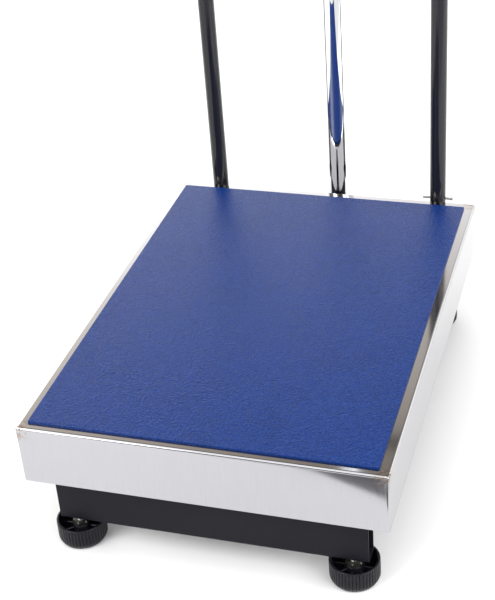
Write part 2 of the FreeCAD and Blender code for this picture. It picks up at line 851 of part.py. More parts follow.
def makeBracketBolts():
    """Bolts that hold the column and rail brackets to the rear beam, nutted inside it."""
    bolts = []
    nuts = []
    for points, gauge in ((columnBoltPoints(), "bracketGauge"),
                          (railBoltPoints(), "railBracketGauge")):
        for x, z in points:
            level = "beamClearance + " + z
            shank = "bracketGauge + beamWall + nutHeight + 2"
            bolts.append(hexBolt(shank, x, "beamRear + " + gauge, level, FACE_FORWARD))
            nuts.append(hexNut(x, "beamRear - beamWall", level, FACE_FORWARD))
    group("bracket_bolts", bolts)
    group("bracket_nuts", nuts)


# ---- guard rail ---------------------------------------------------------------------------------

def hoop(diameter):
    """A solid bar along the rail's centre line: legs, quarter-ring bends and a crown."""
    halfSpan = "railSpacing / 2"
    crown = "railTop - railDiameter / 2"
    legs = [cylinder(diameter, crown + " - railBend - beamTop", "%s * %s" % (sign, halfSpan),
                     z="beamTop") for _, sign in SIDES]
    top = cylinder(diameter, "railSpacing - 2 * railBend", "-%s + railBend" % halfSpan, z=crown,
                   rotation=Rotation(Vector(0, 1, 0), 90))
    bends = []
    for _, sign in SIDES:
        ring = doc.addObject("Part::Torus", "bend")
        bind(ring, Radius1="railBend", Radius2="(" + diameter + ") / 2")
        ring.Angle3 = 90
        outward = Vector(int(sign), 0, 0)
        turn = Rotation(outward, Vector(0, 0, 1), outward.cross(Vector(0, 0, 1)), "XYZ")
        bends.append(place(ring, "%s * (%s - railBend)" % (sign, halfSpan), z=crown + " - railBend",
                           rotation=turn))
    return fuse(top, *legs, *bends)


def makeGuardRail():
    """One round tube bent twice into a hoop, cross-drilled in its right leg for the pin."""
    tube = cut(hoop("railDiameter"), hoop("railDiameter - 2 * railWall"))
    hole = cylinder("pinDiameter + 2 * studClearance", "2 * railDiameter",
                    "railSpacing / 2 - railDiameter", z="pinHeight",
                    rotation=Rotation(Vector(0, 1, 0), 90))
    rail = cut(tube, hole)
    keep(place(rail, y="railY"), "guard_rail")


def makeRailBrackets():
    """Folded angle on the rear beam with a spigot standing inside the rail's leg."""
    for side, sign in SIDES:
        body = newBody(side + "_rail_bracket")
        angle = newSketch(body, "YZ_Plane")
        reach = "railSetback + railDiameter / 2 + 3"
        polygon(angle, [("0", "beamHeight - railBracketGauge"), ("0", "6"),
                        ("railBracketGauge", "6"),
                        ("railBracketGauge", "beamHeight - railBracketGauge"),
                        (reach, "beamHeight - railBracketGauge"), (reach, "beamHeight"),
                        ("0", "beamHeight")])
        pad(body, angle, "railBracketWidth", midplane=True)
        dress(body, "Fillet", "railBracketGauge",
              lambda edge: along(edge, 0) and near(edge.BoundBox.YMin, "0")
              and near(edge.BoundBox.ZMin, "beamHeight"))
        spigot = newSketch(body, "XY_Plane", "beamHeight")
        circle(spigot, "railDiameter - 2 * railWall - 2 * spigotClearance", "0", "railSetback")
        pad(body, spigot, "spigotTop - beamTop")
        holes = [("-(%s) * railBoltInset" % sign, "beamHeight / 2 + %s * bracketBoltZ / 2" % e)
                 for _, e in ENDS]
        drill(body, "XZ_Plane", "0", holes, "boltHole", "railBracketGauge + 1")
        if side == "right":
            cross = newSketch(body, "YZ_Plane")
            circle(cross, "pinDiameter + 2 * studClearance", "railSetback",
                   "pinHeight - beamClearance")
            pocket(body, cross, "railDiameter")
        place(body, "%s * railSpacing / 2" % sign, "beamRear", "beamClearance")


def makeLockingPin():
    body = newBody("rail_locking_pin")
    section = newSketch(body, "XZ_Plane")
    half = "pinLength / 2"
    shaft = "pinDiameter / 2"
    head = "pinHeadDiameter / 2"
    neck = half + " - pinHeadLength"
    polygon(section, [("0", "-" + half), (head, "-" + half), (head, "-(" + neck + ")"),
                      (shaft, "-(" + neck + ")"), (shaft, half), ("0", half)])
    revolve(body, section)
    place(body, "railSpacing / 2", "railY", "pinHeight", Rotation(Vector(0, 1, 0), -90))


# ---- indicator ----------------------------------------------------------------------------------

def makeYoke():
    """A strap bent into a U with rounded ears, on a collar over the column's top."""
    body = newBody("indicator_yoke")
    strap = newSketch(body, "XZ_Plane")
    outer = "earInner + yokeGauge"
    top = "yokeRise + yokeDepth / 2"
    polygon(strap, [("-(" + outer + ")", "0"), (outer, "0"), (outer, top), ("earInner", top),
                    ("earInner", "yokeGauge"), ("-earInner", "yokeGauge"), ("-earInner", top),
                    ("-(" + outer + ")", top)])
    pad(body, strap, "yokeDepth", midplane=True)
    dress(body, "Fillet", "yokeBend", lambda edge: along(edge, 1) and flatAt(edge, "0"))
    dress(body, "Fillet", "yokeBend - yokeGauge",
          lambda edge: along(edge, 1) and flatAt(edge, "yokeGauge"))
    dress(body, "Fillet", "yokeDepth / 2 - 0.1", lambda edge: along(edge, 0) and flatAt(edge, top))
    drill(body, "YZ_Plane", "0", [("0", "yokeRise")], "knobStud + 1", outer + " + 1")
    collar = newSketch(body)
    circle(collar, "socketDiameter")
    circle(collar, "columnDiameter + 2 * socketClearance")
    pad(body, collar, "collarHeight", reverse=True)
    doc.recompute()
    wallMiddle = "-(socketDiameter / 4 + columnDiameter / 4)"
    drill(body, "XZ_Plane", wallMiddle, [("0", "-collarHeight / 2 + collarOverhang / 2")],
          "boltDiameter + 2 * studClearance", "boltDiameter")
    place(body, y="columnY", z="columnTop")


def headPlace(item, x="0", y="0", z="0"):
    """Puts a piece of the head at its place from the pivot, tilted back with the head."""
    turn = Rotation(Vector(1, 0, 0), -num("headTilt"))
    shift = turn.multVec(Vector(num(x), num(y), num(z)))
    spot = Vector(0, num("columnY"), num("pivotZ")) + shift
    item.Placement = Placement(spot, turn)
    return item


HEAD_BOTTOM = "-pivotHeight"
HEAD_TOP = "(headHeight - pivotHeight)"
HEAD_FRONT = "(-headDepth / 2)"
HEAD_JOINT = "(headFrontDepth - headDepth / 2)"
HEAD_REAR = "(headDepth / 2)"


def headOutline(sketch, inset="0", radius="headCorner"):
    inset = "(" + inset + ")"
    return roundedRectangle(sketch, "-headWidth / 2 + " + inset, HEAD_BOTTOM + " + " + inset,
                            "headWidth / 2 - " + inset, HEAD_TOP + " - " + inset, radius)


def makeFrontHousing():
    """The head's face: a shallow moulded tray with a recessed window and key openings."""
    body = newBody("front_housing")
    face = newSketch(body, "XZ_Plane", "-" + HEAD_JOINT)
    headOutline(face)
    pad(body, face, "headFrontDepth")
    dress(body, "Fillet", "headEdge",
          lambda edge: near(edge.BoundBox.YMin, HEAD_FRONT) and near(edge.BoundBox.YMax, HEAD_FRONT))
    hollow = newSketch(body, "XZ_Plane", "-" + HEAD_JOINT)
    headOutline(hollow, "headWall", "headCorner - headWall")
    pocket(body, hollow, "headFrontDepth - headWall - windowThickness")
    recess = newSketch(body, "XZ_Plane", "-" + HEAD_FRONT)
    windowBox(recess, "windowClearance")
    pocket(body, recess, "windowThickness")
    sight = newSketch(body, "XZ_Plane", "-" + HEAD_FRONT)
    windowBox(sight, "-windowBezel")
    pocket(body, sight, "headFrontDepth")
    for i in range(int(num("keyCount"))):
        hole = newSketch(body, "XZ_Plane", "-" + HEAD_FRONT)
        keyBox(hole, i, "keyClearance", "keyCorner + keyClearance")
        pocket(body, hole, "headFrontDepth / 2")
    headPlace(body)


def windowBox(sketch, grow):
    return rectangle(sketch, "-windowWidth / 2 - (%s)" % grow,
                     "windowRise - windowHeight / 2 - (%s)" % grow,
                     "windowWidth / 2 + %s" % grow,
                     "windowRise + windowHeight / 2 + %s" % grow)


def keyCentre(index):
    return "keyPitch * (%d - (keyCount - 1) / 2)" % index


def keyBox(sketch, index, grow, radius="keyCorner"):
    x = keyCentre(index)
    return roundedRectangle(sketch, "%s - keyWidth / 2 - (%s)" % (x, grow),
                            "keyRise - keyHeight / 2 - (%s)" % grow,
                            "%s + keyWidth / 2 + (%s)" % (x, grow),
                            "keyRise + keyHeight / 2 + (%s)" % grow, radius)


def makeRearHousing():
    """The head's back: a deeper shell that tapers towards the rear."""
    body = newBody("rear_housing")
    draft = "-atan(headTaper / (headDepth - headFrontDepth))"
    mouth = newSketch(body, "XZ_Plane", "-" + HEAD_JOINT)
    headOutline(mouth)
    shell = pad(body, mouth, "headDepth - headFrontDepth", reverse=True)
    bind(shell, TaperAngle=draft)
    dress(body, "Chamfer", "headEdge / 2",
          lambda edge: near(edge.BoundBox.YMin, HEAD_REAR) and near(edge.BoundBox.YMax, HEAD_REAR))
    mouthInner = newSketch(body, "XZ_Plane", "-" + HEAD_JOINT)
    headOutline(mouthInner, "headWall", "headCorner - headWall")
    cavity = body.newObject("PartDesign::Pocket", "cavity")
    cavity.Profile = mouthInner
    bind(cavity, Length="headDepth - headFrontDepth - headWall", TaperAngle=draft)
    for plane, outwards in (("headWidth / 2 - insertLength - 2", False),
                            ("-(headWidth / 2 - insertLength - 2)", True)):
        boss = newSketch(body, "YZ_Plane", plane)
        circle(boss, "pivotBoss")
        pad(body, boss, "insertLength + 2", reverse=outwards)
    for plane in ("headWidth / 2", "-headWidth / 2"):
        drill(body, "YZ_Plane", plane, [("0", "0")], "insertDiameter", "insertLength")
    drill(body, "XZ_Plane", "-" + HEAD_REAR, [("powerButtonX", "powerButtonZ")],
          "powerButtonDiameter + 2 * keyClearance", "headWall + 1")
    headPlace(body)


def makeWindow():
    body = newBody("display_window")
    pane = newSketch(body, "XZ_Plane", "-(" + HEAD_FRONT + " + windowThickness)")
    windowBox(pane, "0")
    pad(body, pane, "windowThickness")
    headPlace(body)


def makeDisplay():
    body = newBody("display_module")
    block = newSketch(body, "XZ_Plane", "-(" + HEAD_FRONT + " + headWall + windowThickness)")
    windowBox(block, "windowBezel / 2")
    pad(body, block, "displayDepth", reverse=True)
    headPlace(body)


def makeBoard():
    """The circuit board on the back of the display, with a switch block behind each key."""
    body = newBody("circuit_board")
    level = "-(" + HEAD_FRONT + " + headWall + windowThickness + displayDepth)"
    board = newSketch(body, "XZ_Plane", level)
    headOutline(board, "boardMargin")
    pad(body, board, "boardThickness", reverse=True)
    doc.recompute()
    blocks = newSketch(body, "XZ_Plane", level)
    for i in range(int(num("keyCount"))):
        keyBox(blocks, i, "-keyHeight / 4")
    keyBack = "keyLipThickness"
    pad(body, blocks, "displayDepth - " + keyBack + " - keyTravel - keyClearance")
    headPlace(body)


def makeKeys():
    """Moulded keys: a rounded cap that stands proud, on a lip behind the face."""
    for i in range(int(num("keyCount"))):
        body = newBody("key_%d" % (i + 1))
        inner = "-(" + HEAD_FRONT + " + headWall + windowThickness)"
        cap = newSketch(body, "XZ_Plane", inner)
        roundedRectangle(cap, "-keyWidth / 2", "-keyHeight / 2", "keyWidth / 2", "keyHeight / 2",
                         "keyCorner")
        pad(body, cap, "headWall + windowThickness + keyProud")
        dress(body, "Chamfer", "keyEdge", lambda edge: near(edge.BoundBox.YMin, HEAD_FRONT + " - keyProud")
              and near(edge.BoundBox.YMax, HEAD_FRONT + " - keyProud"))
        lip = newSketch(body, "XZ_Plane", inner)
        rectangle(lip, "-keyWidth / 2 - keyLip", "-keyHeight / 2 - keyLip",
                  "keyWidth / 2 + keyLip", "keyHeight / 2 + keyLip")
        pad(body, lip, "keyLipThickness", reverse=True)
        headPlace(body, keyCentre(i), "0", "keyRise")


def makeBattery():
    body = newBody("battery")
    block = newSketch(body, "XZ_Plane", "-(" + HEAD_REAR + " - headWall)")
    rectangle(block, "-batteryWidth / 2", HEAD_BOTTOM + " + headTaper + headWall",
              "batteryWidth / 2", HEAD_BOTTOM + " + headTaper + headWall + batteryHeight")
    pad(body, block, "batteryDepth")
    dress(body, "Fillet", "2", lambda edge: along(edge, 1))
    headPlace(body)


def makePowerButton():
    """A round push button through the back of the head, on a lip inside the wall."""
    body = newBody("power_button")
    inner = "-(" + HEAD_REAR + " - headWall)"
    cap = newSketch(body, "XZ_Plane", inner)
    circle(cap, "powerButtonDiameter")
    pad(body, cap, "headWall + powerButtonProud", reverse=True)
    dress(body, "Chamfer", "keyEdge",
          lambda edge: near(edge.BoundBox.YMin, HEAD_REAR + " + powerButtonProud"))
    lip = newSketch(body, "XZ_Plane", inner)
    circle(lip, "powerButtonDiameter + 2 * powerButtonLip")
    pad(body, lip, "powerButtonLipThickness")
    headPlace(body, "powerButtonX", "0", "powerButtonZ")


def makeKnobs():
    """Lobed clamp knobs with a moulded-in stud through the yoke's ears."""
    for side, sign in SIDES:
        body = newBody(side + "_tilt_knob")
        section = newSketch(body, "XZ_Plane")
        stud = "knobStud / 2"
        rim = "knobDiameter / 2"
        base = "earInner + yokeGauge + knobGap"
        tip = "headWidth / 2 - knobStudLength"
        polygon(section, [("0", tip), (stud, tip), (stud, base), (rim + " - 4", base),
                          (rim, base + " + 3"), (rim, base + " + knobDepth - 3"),
                          (rim + " - 3", base + " + knobDepth"), ("0", base + " + knobDepth")])
        revolve(body, section)
        lobe = newSketch(body, "XY_Plane", base + " + knobDepth / 2")
        circle(lobe, "knobLobeDiameter", rim + " + knobLobeDiameter / 4")
        scallop = pocket(body, lobe, "knobDepth")
        polarPattern(body, scallop, "knobLobes")
        turn = Rotation(Vector(0, 1, 0), 90 if side == "right" else -90)
        tilt = Rotation(Vector(1, 0, 0), -num("headTilt"))
        body.Placement = Placement(Vector(0, num("columnY"), num("pivotZ")), tilt.multiply(turn))


def makeInserts():
    """Brass inserts in the head's sides that take the knobs' studs."""
    inserts = []
    for side, sign in SIDES:
        turn = Rotation(Vector(0, 1, 0), 90 if side == "right" else -90)
        base = "headWidth / 2 - insertLength"
        blank = cylinder("insertDiameter", "insertLength", z=base)
        bore = cylinder("knobStud + 2 * studClearance", "insertLength", z=base)
        insert = cut(blank, bore)
        inserts.append(headPlace(insert))
        insert.Placement = insert.Placement.multiply(Placement(Vector(0, 0, 0), turn))
    group("pivot_inserts", inserts)


makePlatterCover()
makeMat()
for end, sign in ENDS:
    makeBeam(end, sign)
makeSideRails()
makeFrameChannels()
makeTopFrame()
makeButtons()
makeLoadCell()
makeSpacers()
makeCellBolts()
makeStops()
makeFeet()
makeWeldNuts()
makeColumnBracket()
makeSocket()
makeColumn()
makeClampScrews()
makeBracketBolts()
makeGuardRail()
makeRailBrackets()
makeLockingPin()
makeYoke()
makeFrontHousing()
makeRearHousing()
makeWindow()
makeDisplay()
makeBoard()
makeKeys()
makeBattery()
makePowerButton()
makeKnobs()
makeInserts()
for part in parts:
    settle(part)
doc.recompute()

for item in doc.Objects:
    if "Invalid" in item.State or "Error" in item.State:
        raise RuntimeError("%s failed: %s" % (item.Label, item.State))
for part in parts:
    if part.Shape.isNull() or not part.Shape.isValid():
        raise RuntimeError("%s has no valid shape" % part.Label)

os.makedirs("parts", exist_ok=True)
for part in parts:
    part.Shape.exportStep("parts/%s.step" % part.Label)
print("%d sub-parts" % len(parts))
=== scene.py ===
# Animal weighing scale, dressed: every surface that is seen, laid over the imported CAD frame.
# Metres, in the CAD frame: +Z up from the floor, +Y from the platform towards the column.
import json
import math
import bpy
import bmesh
import numpy as np
from mathutils import Matrix, Vector


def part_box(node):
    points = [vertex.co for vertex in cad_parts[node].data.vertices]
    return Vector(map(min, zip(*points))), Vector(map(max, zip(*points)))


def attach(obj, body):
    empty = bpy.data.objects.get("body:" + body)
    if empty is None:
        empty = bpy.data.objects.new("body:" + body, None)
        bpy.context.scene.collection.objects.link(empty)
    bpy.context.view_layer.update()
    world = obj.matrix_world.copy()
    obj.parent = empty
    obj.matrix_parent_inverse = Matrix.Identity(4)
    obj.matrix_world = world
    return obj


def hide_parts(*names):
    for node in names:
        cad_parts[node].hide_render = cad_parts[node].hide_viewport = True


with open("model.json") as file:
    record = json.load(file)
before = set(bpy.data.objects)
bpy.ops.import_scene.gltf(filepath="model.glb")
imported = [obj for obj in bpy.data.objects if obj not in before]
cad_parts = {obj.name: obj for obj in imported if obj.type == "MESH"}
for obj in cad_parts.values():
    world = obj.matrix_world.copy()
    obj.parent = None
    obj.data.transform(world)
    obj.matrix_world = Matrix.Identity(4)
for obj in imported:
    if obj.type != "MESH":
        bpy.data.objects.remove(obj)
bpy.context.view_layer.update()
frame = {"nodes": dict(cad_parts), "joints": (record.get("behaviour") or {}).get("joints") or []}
cadNodes = frame["nodes"]
joints = {joint["name"]: joint for joint in frame["joints"]}
mm = 0.001


# meshes from grids of points

mergeDistance = 2e-7


def linked(name, data):
    # a new object at the origin, in the scene
    made = bpy.data.objects.new(name, data)
    bpy.context.scene.collection.objects.link(made)
    return made


def gridFaces(rows, columns, closeRows, closeColumns):
    # a quad for each cell of the grid; a closed direction joins its last line to its first
    index = np.arange(rows * columns).reshape(rows, columns)
    if closeRows:
        index = np.concatenate([index, index[:1]], axis=0)
    if closeColumns:
        index = np.concatenate([index, index[:, :1]], axis=1)
    corners = [index[:-1, :-1], index[1:, :-1], index[1:, 1:], index[:-1, 1:]]
    return np.stack(corners, axis=-1).reshape(-1, 4)


def enclosedVolume(points, quads):
    # sum of the tetrahedra from the origin to each half quad: negative if the faces point inwards
    a, b, c, d = (points[quads[:, i]] for i in range(4))
    return np.sum(a * np.cross(b, c)) + np.sum(a * np.cross(c, d))


def makePiece(name, surfaces, material, body, replaced=(), sharpAngle=40.0):
    # one mesh from closed grids (points, closed along rows, closed along columns), faces outwards
    points, faces, start = [], [], 0
    for grid, closeRows, closeColumns in surfaces:
        flat = grid.reshape(-1, 3)
        quads = gridFaces(grid.shape[0], grid.shape[1], closeRows, closeColumns)
        if enclosedVolume(flat - flat.mean(axis=0), quads) < 0:
            quads = quads[:, ::-1]
        points.append(flat)
        faces.append(quads + start)
        start += len(flat)
    mesh = bpy.data.meshes.new(name)
    mesh.from_pydata(np.concatenate(points).tolist(), [], np.concatenate(faces).tolist())
    work = bmesh.new()
    work.from_mesh(mesh)
    bmesh.ops.remove_doubles(work, verts=work.verts, dist=mergeDistance)   # closes the poles and seams
    work.to_mesh(mesh)
    work.free()
    mesh.shade_smooth()
    mesh.set_sharp_from_angle(angle=math.radians(sharpAngle))
    mesh.materials.append(material)
    piece = linked(name, mesh)
    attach(piece, body)
    if replaced:
        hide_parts(*replaced)


def boxOf(node):
    low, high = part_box(node)
    return np.array(low), np.array(high)


def axisOf(low, high, height=0.0):
    # the middle of a box seen from above, at a height
    return np.array([(low[0] + high[0]) / 2, (low[1] + high[1]) / 2, height])


def wholeTurn(steps):
    # even angles round a full circle
    return np.arange(steps) * (2 * math.pi / steps)


def spun(angle, reach, height):
    # a row of points for each angle round an upright axis, out by `reach` and up by `height`
    x = np.cos(angle)[:, None] * reach
    y = np.sin(angle)[:, None] * reach
    return np.stack([x, y, np.ones_like(x) * height], axis=-1)


def turned(profile, around, centre):
    # surface of revolution: each profile point (radius, height) swept round an upright axis
    radius, height = np.asarray(profile, float).T
    return spun(wholeTurn(around), radius, height) + centre


def stacked(halfX, halfY, corner, profile, centre=(0, 0, 0), arcSteps=6, sideSteps=10):
    # rings of a rounded rectangle, each drawn in by its inset and raised to its height;
    # the corner radius shrinks with the inset, so beyond it the corners meet in mitres
    inset, height = np.asarray(profile, float).T
    radius = np.maximum(corner - inset, 0.0)[:, None]
    reachX = np.maximum(halfX - inset, 0.0)[:, None] - radius
    reachY = np.maximum(halfY - inset, 0.0)[:, None] - radius
    arc = np.linspace(0, math.pi / 2, arcSteps + 1)
    along = (1 - np.cos(math.pi * np.arange(1, sideSteps) / sideSteps)) / 2
    signs = ((1, 1), (-1, 1), (-1, -1), (1, -1))
    ringX, ringY = [], []
    for quarter in range(4):
        signX, signY = signs[quarter]
        nextX, nextY = signs[(quarter + 1) % 4]
        turn = arc + quarter * math.pi / 2
        ringX.append(signX * reachX + radius * np.cos(turn))
        ringY.append(signY * reachY + radius * np.sin(turn))
        endX, endY = ringX[-1][:, -1:], ringY[-1][:, -1:]
        startX = nextX * reachX + radius * math.cos(turn[-1])
        startY = nextY * reachY + radius * math.sin(turn[-1])
        ringX.append(endX + (startX - endX) * along)
        ringY.append(endY + (startY - endY) * along)
    x, y = np.concatenate(ringX, axis=1), np.concatenate(ringY, axis=1)
    return np.stack([x, y, np.ones_like(x) * height[:, None]], axis=-1) + np.asarray(centre)


def roundOver(radius, steps, inset, top):
    # quarter circle from the flat top, at inset + radius, down to the side, at inset
    turn = np.linspace(0, math.pi / 2, steps)
    return np.stack([inset + radius * (1 - np.sin(turn)), top - radius * (1 - np.cos(turn))], axis=1)


def carried(path, tangent, side, profile):
    # a closed profile (p, q) carried along a flat path: p across it in its plane, q along `side`
    across = np.cross(side, tangent)
    p, q = np.asarray(profile, float).T
    return path[:, None] + across[:, None] * p[None, :, None] + side * q[None, :, None]


def circleProfile(radius, around):
    turn = wholeTurn(around)
    return np.stack([radius * np.cos(turn), radius * np.sin(turn)], axis=1)


# materials

def spanned(tree, source, low=0.0, high=1.0, fromLow=0.0, fromHigh=1.0):
    # a number carried from one range to another, held at its ends
    made = tree.nodes.new("ShaderNodeMapRange")
    tree.links.new(source, made.inputs["Value"])
    for end, value in (("From Min", fromLow), ("From Max", fromHigh), ("To Min", low), ("To Max", high)):
        made.inputs[end].default_value = value
    return made.outputs["Result"]


def toned(tree, source, stops):
    # a colour for each position; between them the colours blend
    made = tree.nodes.new("ShaderNodeValToRGB")
    tree.links.new(source, made.inputs["Fac"])
    elements = made.color_ramp.elements
    while len(elements) < len(stops):
        elements.new(0.5)
    for element, (position, color) in zip(elements, stops):
        element.position = position
        element.color = (*color, 1)
    return made.outputs["Color"]


class Graph:
    # short hands for wiring one material's nodes
    def __init__(self, name, color, roughness, metallic=0.0):
        self.material = bpy.data.materials.new(name)
        self.material.use_nodes = True
        self.material.diffuse_color = (*color, 1)
        self.tree = self.material.node_tree
        self.shader = self.tree.nodes["Principled BSDF"]
        self.set("Base Color", (*color, 1))
        self.set("Roughness", roughness)
        self.set("Metallic", metallic)
        self.place = self.add("ShaderNodeTexCoord").outputs["Object"]

    def add(self, kind, **values):
        made = self.tree.nodes.new(kind)
        for name, value in values.items():
            setattr(made, name, value)
        return made

    def set(self, slot, value):
        self.shader.inputs[slot].default_value = value

    def feed(self, slot, source):
        self.tree.links.new(source, self.shader.inputs[slot])

    def join(self, slot, source):
        # a plain number or colour is set, and what comes from another node is wired
        if isinstance(source, (int, float)):
            slot.default_value = source
        elif isinstance(source, tuple):
            slot.default_value = (*source, 1)
        else:
            self.tree.links.new(source, slot)

    def noise(self, scale, detail=2.0, stretch=(1, 1, 1), roughness=0.5):
        # noise on the object's own coordinates, stretched by a factor on each axis
        mapping = self.add("ShaderNodeMapping")
        self.tree.links.new(self.place, mapping.inputs["Vector"])
        mapping.inputs["Scale"].default_value = stretch
        made = self.add("ShaderNodeTexNoise")
        self.tree.links.new(mapping.outputs["Vector"], made.inputs["Vector"])
        made.inputs["Scale"].default_value = scale
        made.inputs["Detail"].default_value = detail
        made.inputs["Roughness"].default_value = roughness
        return made.outputs["Fac"]

    def cells(self, scale, feature="F1"):
        made = self.add("ShaderNodeTexVoronoi", feature=feature)
        self.tree.links.new(self.place, made.inputs["Vector"])
        made.inputs["Scale"].default_value = scale
        return made.outputs["Distance"]

    def span(self, source, low, high, fromLow=0.0, fromHigh=1.0):
        return spanned(self.tree, source, low, high, fromLow, fromHigh)

    def twoTones(self, source, tone, otherTone):
        # two tones that blend over the middle of the noise's range
        return toned(self.tree, source, ((0.3, tone), (0.7, otherTone)))

    def worked(self, first, second, operation="ADD"):
        made = self.add("ShaderNodeMath", operation=operation)
        self.join(made.inputs[0], first)
        self.join(made.inputs[1], second)
        return made.outputs["Value"]

    def mix(self, amount, first, second):
        made = self.add("ShaderNodeMix", data_type="RGBA")
        self.join(made.inputs[0], amount)
        self.join(made.inputs[6], first)
        self.join(made.inputs[7], second)
        return made.outputs[2]

    def bump(self, height, depth):
        made = self.add("ShaderNodeBump")
        self.tree.links.new(height, made.inputs["Height"])
        made.inputs["Distance"].default_value = depth
        self.feed("Normal", made.outputs["Normal"])


def mottled(name, look):
    # colour: two tones blended by slow noise; roughness: a range driven by finer noise;
    # relief: fine noise, or rounded cells, as deep as the look's grain
    graph = Graph(name, look["tone"], look["roughness"][0], look.get("metallic", 0.0))
    graph.feed("Base Color", graph.twoTones(graph.noise(look["patch"], 3), look["tone"], look["otherTone"]))
    fine = graph.noise(look["patch"] * 4, 4)
    graph.feed("Roughness", graph.span(fine, *look["roughness"], 0.3, 0.7))
    relief = graph.cells(look["grain"]) if look.get("cells") else graph.noise(look["grain"], 3)
    graph.bump(relief, look["grainDepth"])
    for slot, value in look.get("sockets", {}).items():
        graph.set(slot, value)
    return graph.material


steel = {"tone": (0.460, 0.460, 0.480), "dull": (0.420, 0.420, 0.440), "tint": (0.33, 0.22, 0.13),
         "soot": (0.05, 0.045, 0.04), "tintReach": (4 * mm, 22 * mm), "tintRoughness": 0.12,
         "blotch": 190, "mark": 420, "streak": 1900, "streakStretch": 0.012, "haze": 14,
         "roughness": (0.075, 0.105), "wave": 6, "waviness": 0.1 * mm}


def polishedSteel():
    # mirror-bright folded sheet: fine up-and-down brushing lines in the colour, cloudy haze, slow waves,
    # and straw to brown heat tint with grinding marks in a ball round each welded top corner
    graph = Graph("polished stainless", steel["tone"], steel["roughness"][1], 1.0)
    low, high = boxOf("platter_cover")
    centre = (low + high) / 2
    # distance to the nearest top corner: fold the place on both middle planes, then measure
    parts = graph.add("ShaderNodeSeparateXYZ")
    graph.tree.links.new(graph.place, parts.inputs["Vector"])
    squares = []
    for axis, name in enumerate(("X", "Y", "Z")):
        offset = graph.worked(parts.outputs[name], float(-centre[axis]))
        if name != "Z":
            offset = graph.worked(offset, 0.0, "ABSOLUTE")
        offset = graph.worked(offset, float(centre[axis] - high[axis]))
        squares.append(graph.worked(offset, 2.0, "POWER"))
    distance = graph.worked(graph.worked(graph.worked(squares[0], squares[1]), squares[2]), 0.5, "POWER")
    near = graph.span(distance, 1.0, 0.0, *steel["tintReach"])
    blotch = graph.span(graph.noise(steel["blotch"], 4), 0.0, 1.0, 0.42, 0.62)
    streaks = graph.noise(steel["streak"], 3, (1, 1, steel["streakStretch"]))
    plain = graph.mix(graph.span(streaks, 0.0, 1.0, 0.30, 0.70), steel["tone"], steel["dull"])
    tinted = graph.mix(graph.worked(near, blotch, "MULTIPLY"), plain, steel["tint"])
    marks = graph.span(graph.noise(steel["mark"], 3, (1, 1, 0.6)), 0.0, 1.0, 0.60, 0.68)
    graph.feed("Base Color", graph.mix(graph.worked(near, marks, "MULTIPLY"), tinted, steel["soot"]))
    haze = graph.span(graph.noise(steel["haze"], 3), *steel["roughness"], 0.3, 0.7)
    rougher = graph.worked(near, steel["tintRoughness"], "MULTIPLY")
    graph.feed("Roughness", graph.worked(haze, rougher))
    graph.bump(graph.noise(steel["wave"], 1), steel["waviness"])
    return graph.material


# paintedGlint is the colour of painted highlight specks, standing for glints on the mat's grain
rubber = {"tone": (0.0011, 0.0145, 0.092), "otherTone": (0.0016, 0.0185, 0.114),
          "paintedGlint": (0.006, 0.037, 0.195), "patch": 18, "speck": 600, "cell": 430, "warp": 1300,
          "warpShare": 0.6, "depth": 0.36 * mm, "roughness": (0.22, 0.32), "shine": 0.13}


def matRubber():
    # embossed leather grain: rounded cells about two millimetres across, softened by finer noise;
    # a deep blue that varies slowly, with lighter specks at random: painted highlight that stands for
    # glints on the grain; and a satin shine
    graph = Graph("blue mat rubber", rubber["tone"], rubber["roughness"][1])
    graph.set("Specular IOR Level", rubber["shine"])
    slow = graph.twoTones(graph.noise(rubber["patch"], 4), rubber["tone"], rubber["otherTone"])
    cells = graph.cells(rubber["cell"], "SMOOTH_F1")
    # painted highlight: lighter specks of colour at random, standing for glints on the grain
    glintSpecks = graph.span(graph.noise(rubber["speck"], 3, (1, 1, 1), 0.75), 0.0, 1.0, 0.44, 0.60)
    graph.feed("Base Color", graph.mix(glintSpecks, slow, rubber["paintedGlint"]))
    warp = graph.worked(graph.noise(rubber["warp"], 2), rubber["warpShare"], "MULTIPLY")
    graph.bump(graph.worked(cells, warp), rubber["depth"])
    graph.feed("Roughness", graph.span(cells, *rubber["roughness"], 0.1, 0.6))
    return graph.material


chrome = {"tone": (0.83, 0.84, 0.85), "roughness": (0.02, 0.06), "haze": 35, "wave": 12,
          "waviness": 0.03 * mm}


def chromePlate():
    # bright plate: a faint haze of fingerprints in the roughness and almost no relief
    graph = Graph("column chrome", chrome["tone"], chrome["roughness"][0], 1.0)
    graph.feed("Roughness", graph.span(graph.noise(chrome["haze"], 4), *chrome["roughness"], 0.45, 0.75))
    graph.bump(graph.noise(chrome["wave"], 1), chrome["waviness"])
    return graph.material


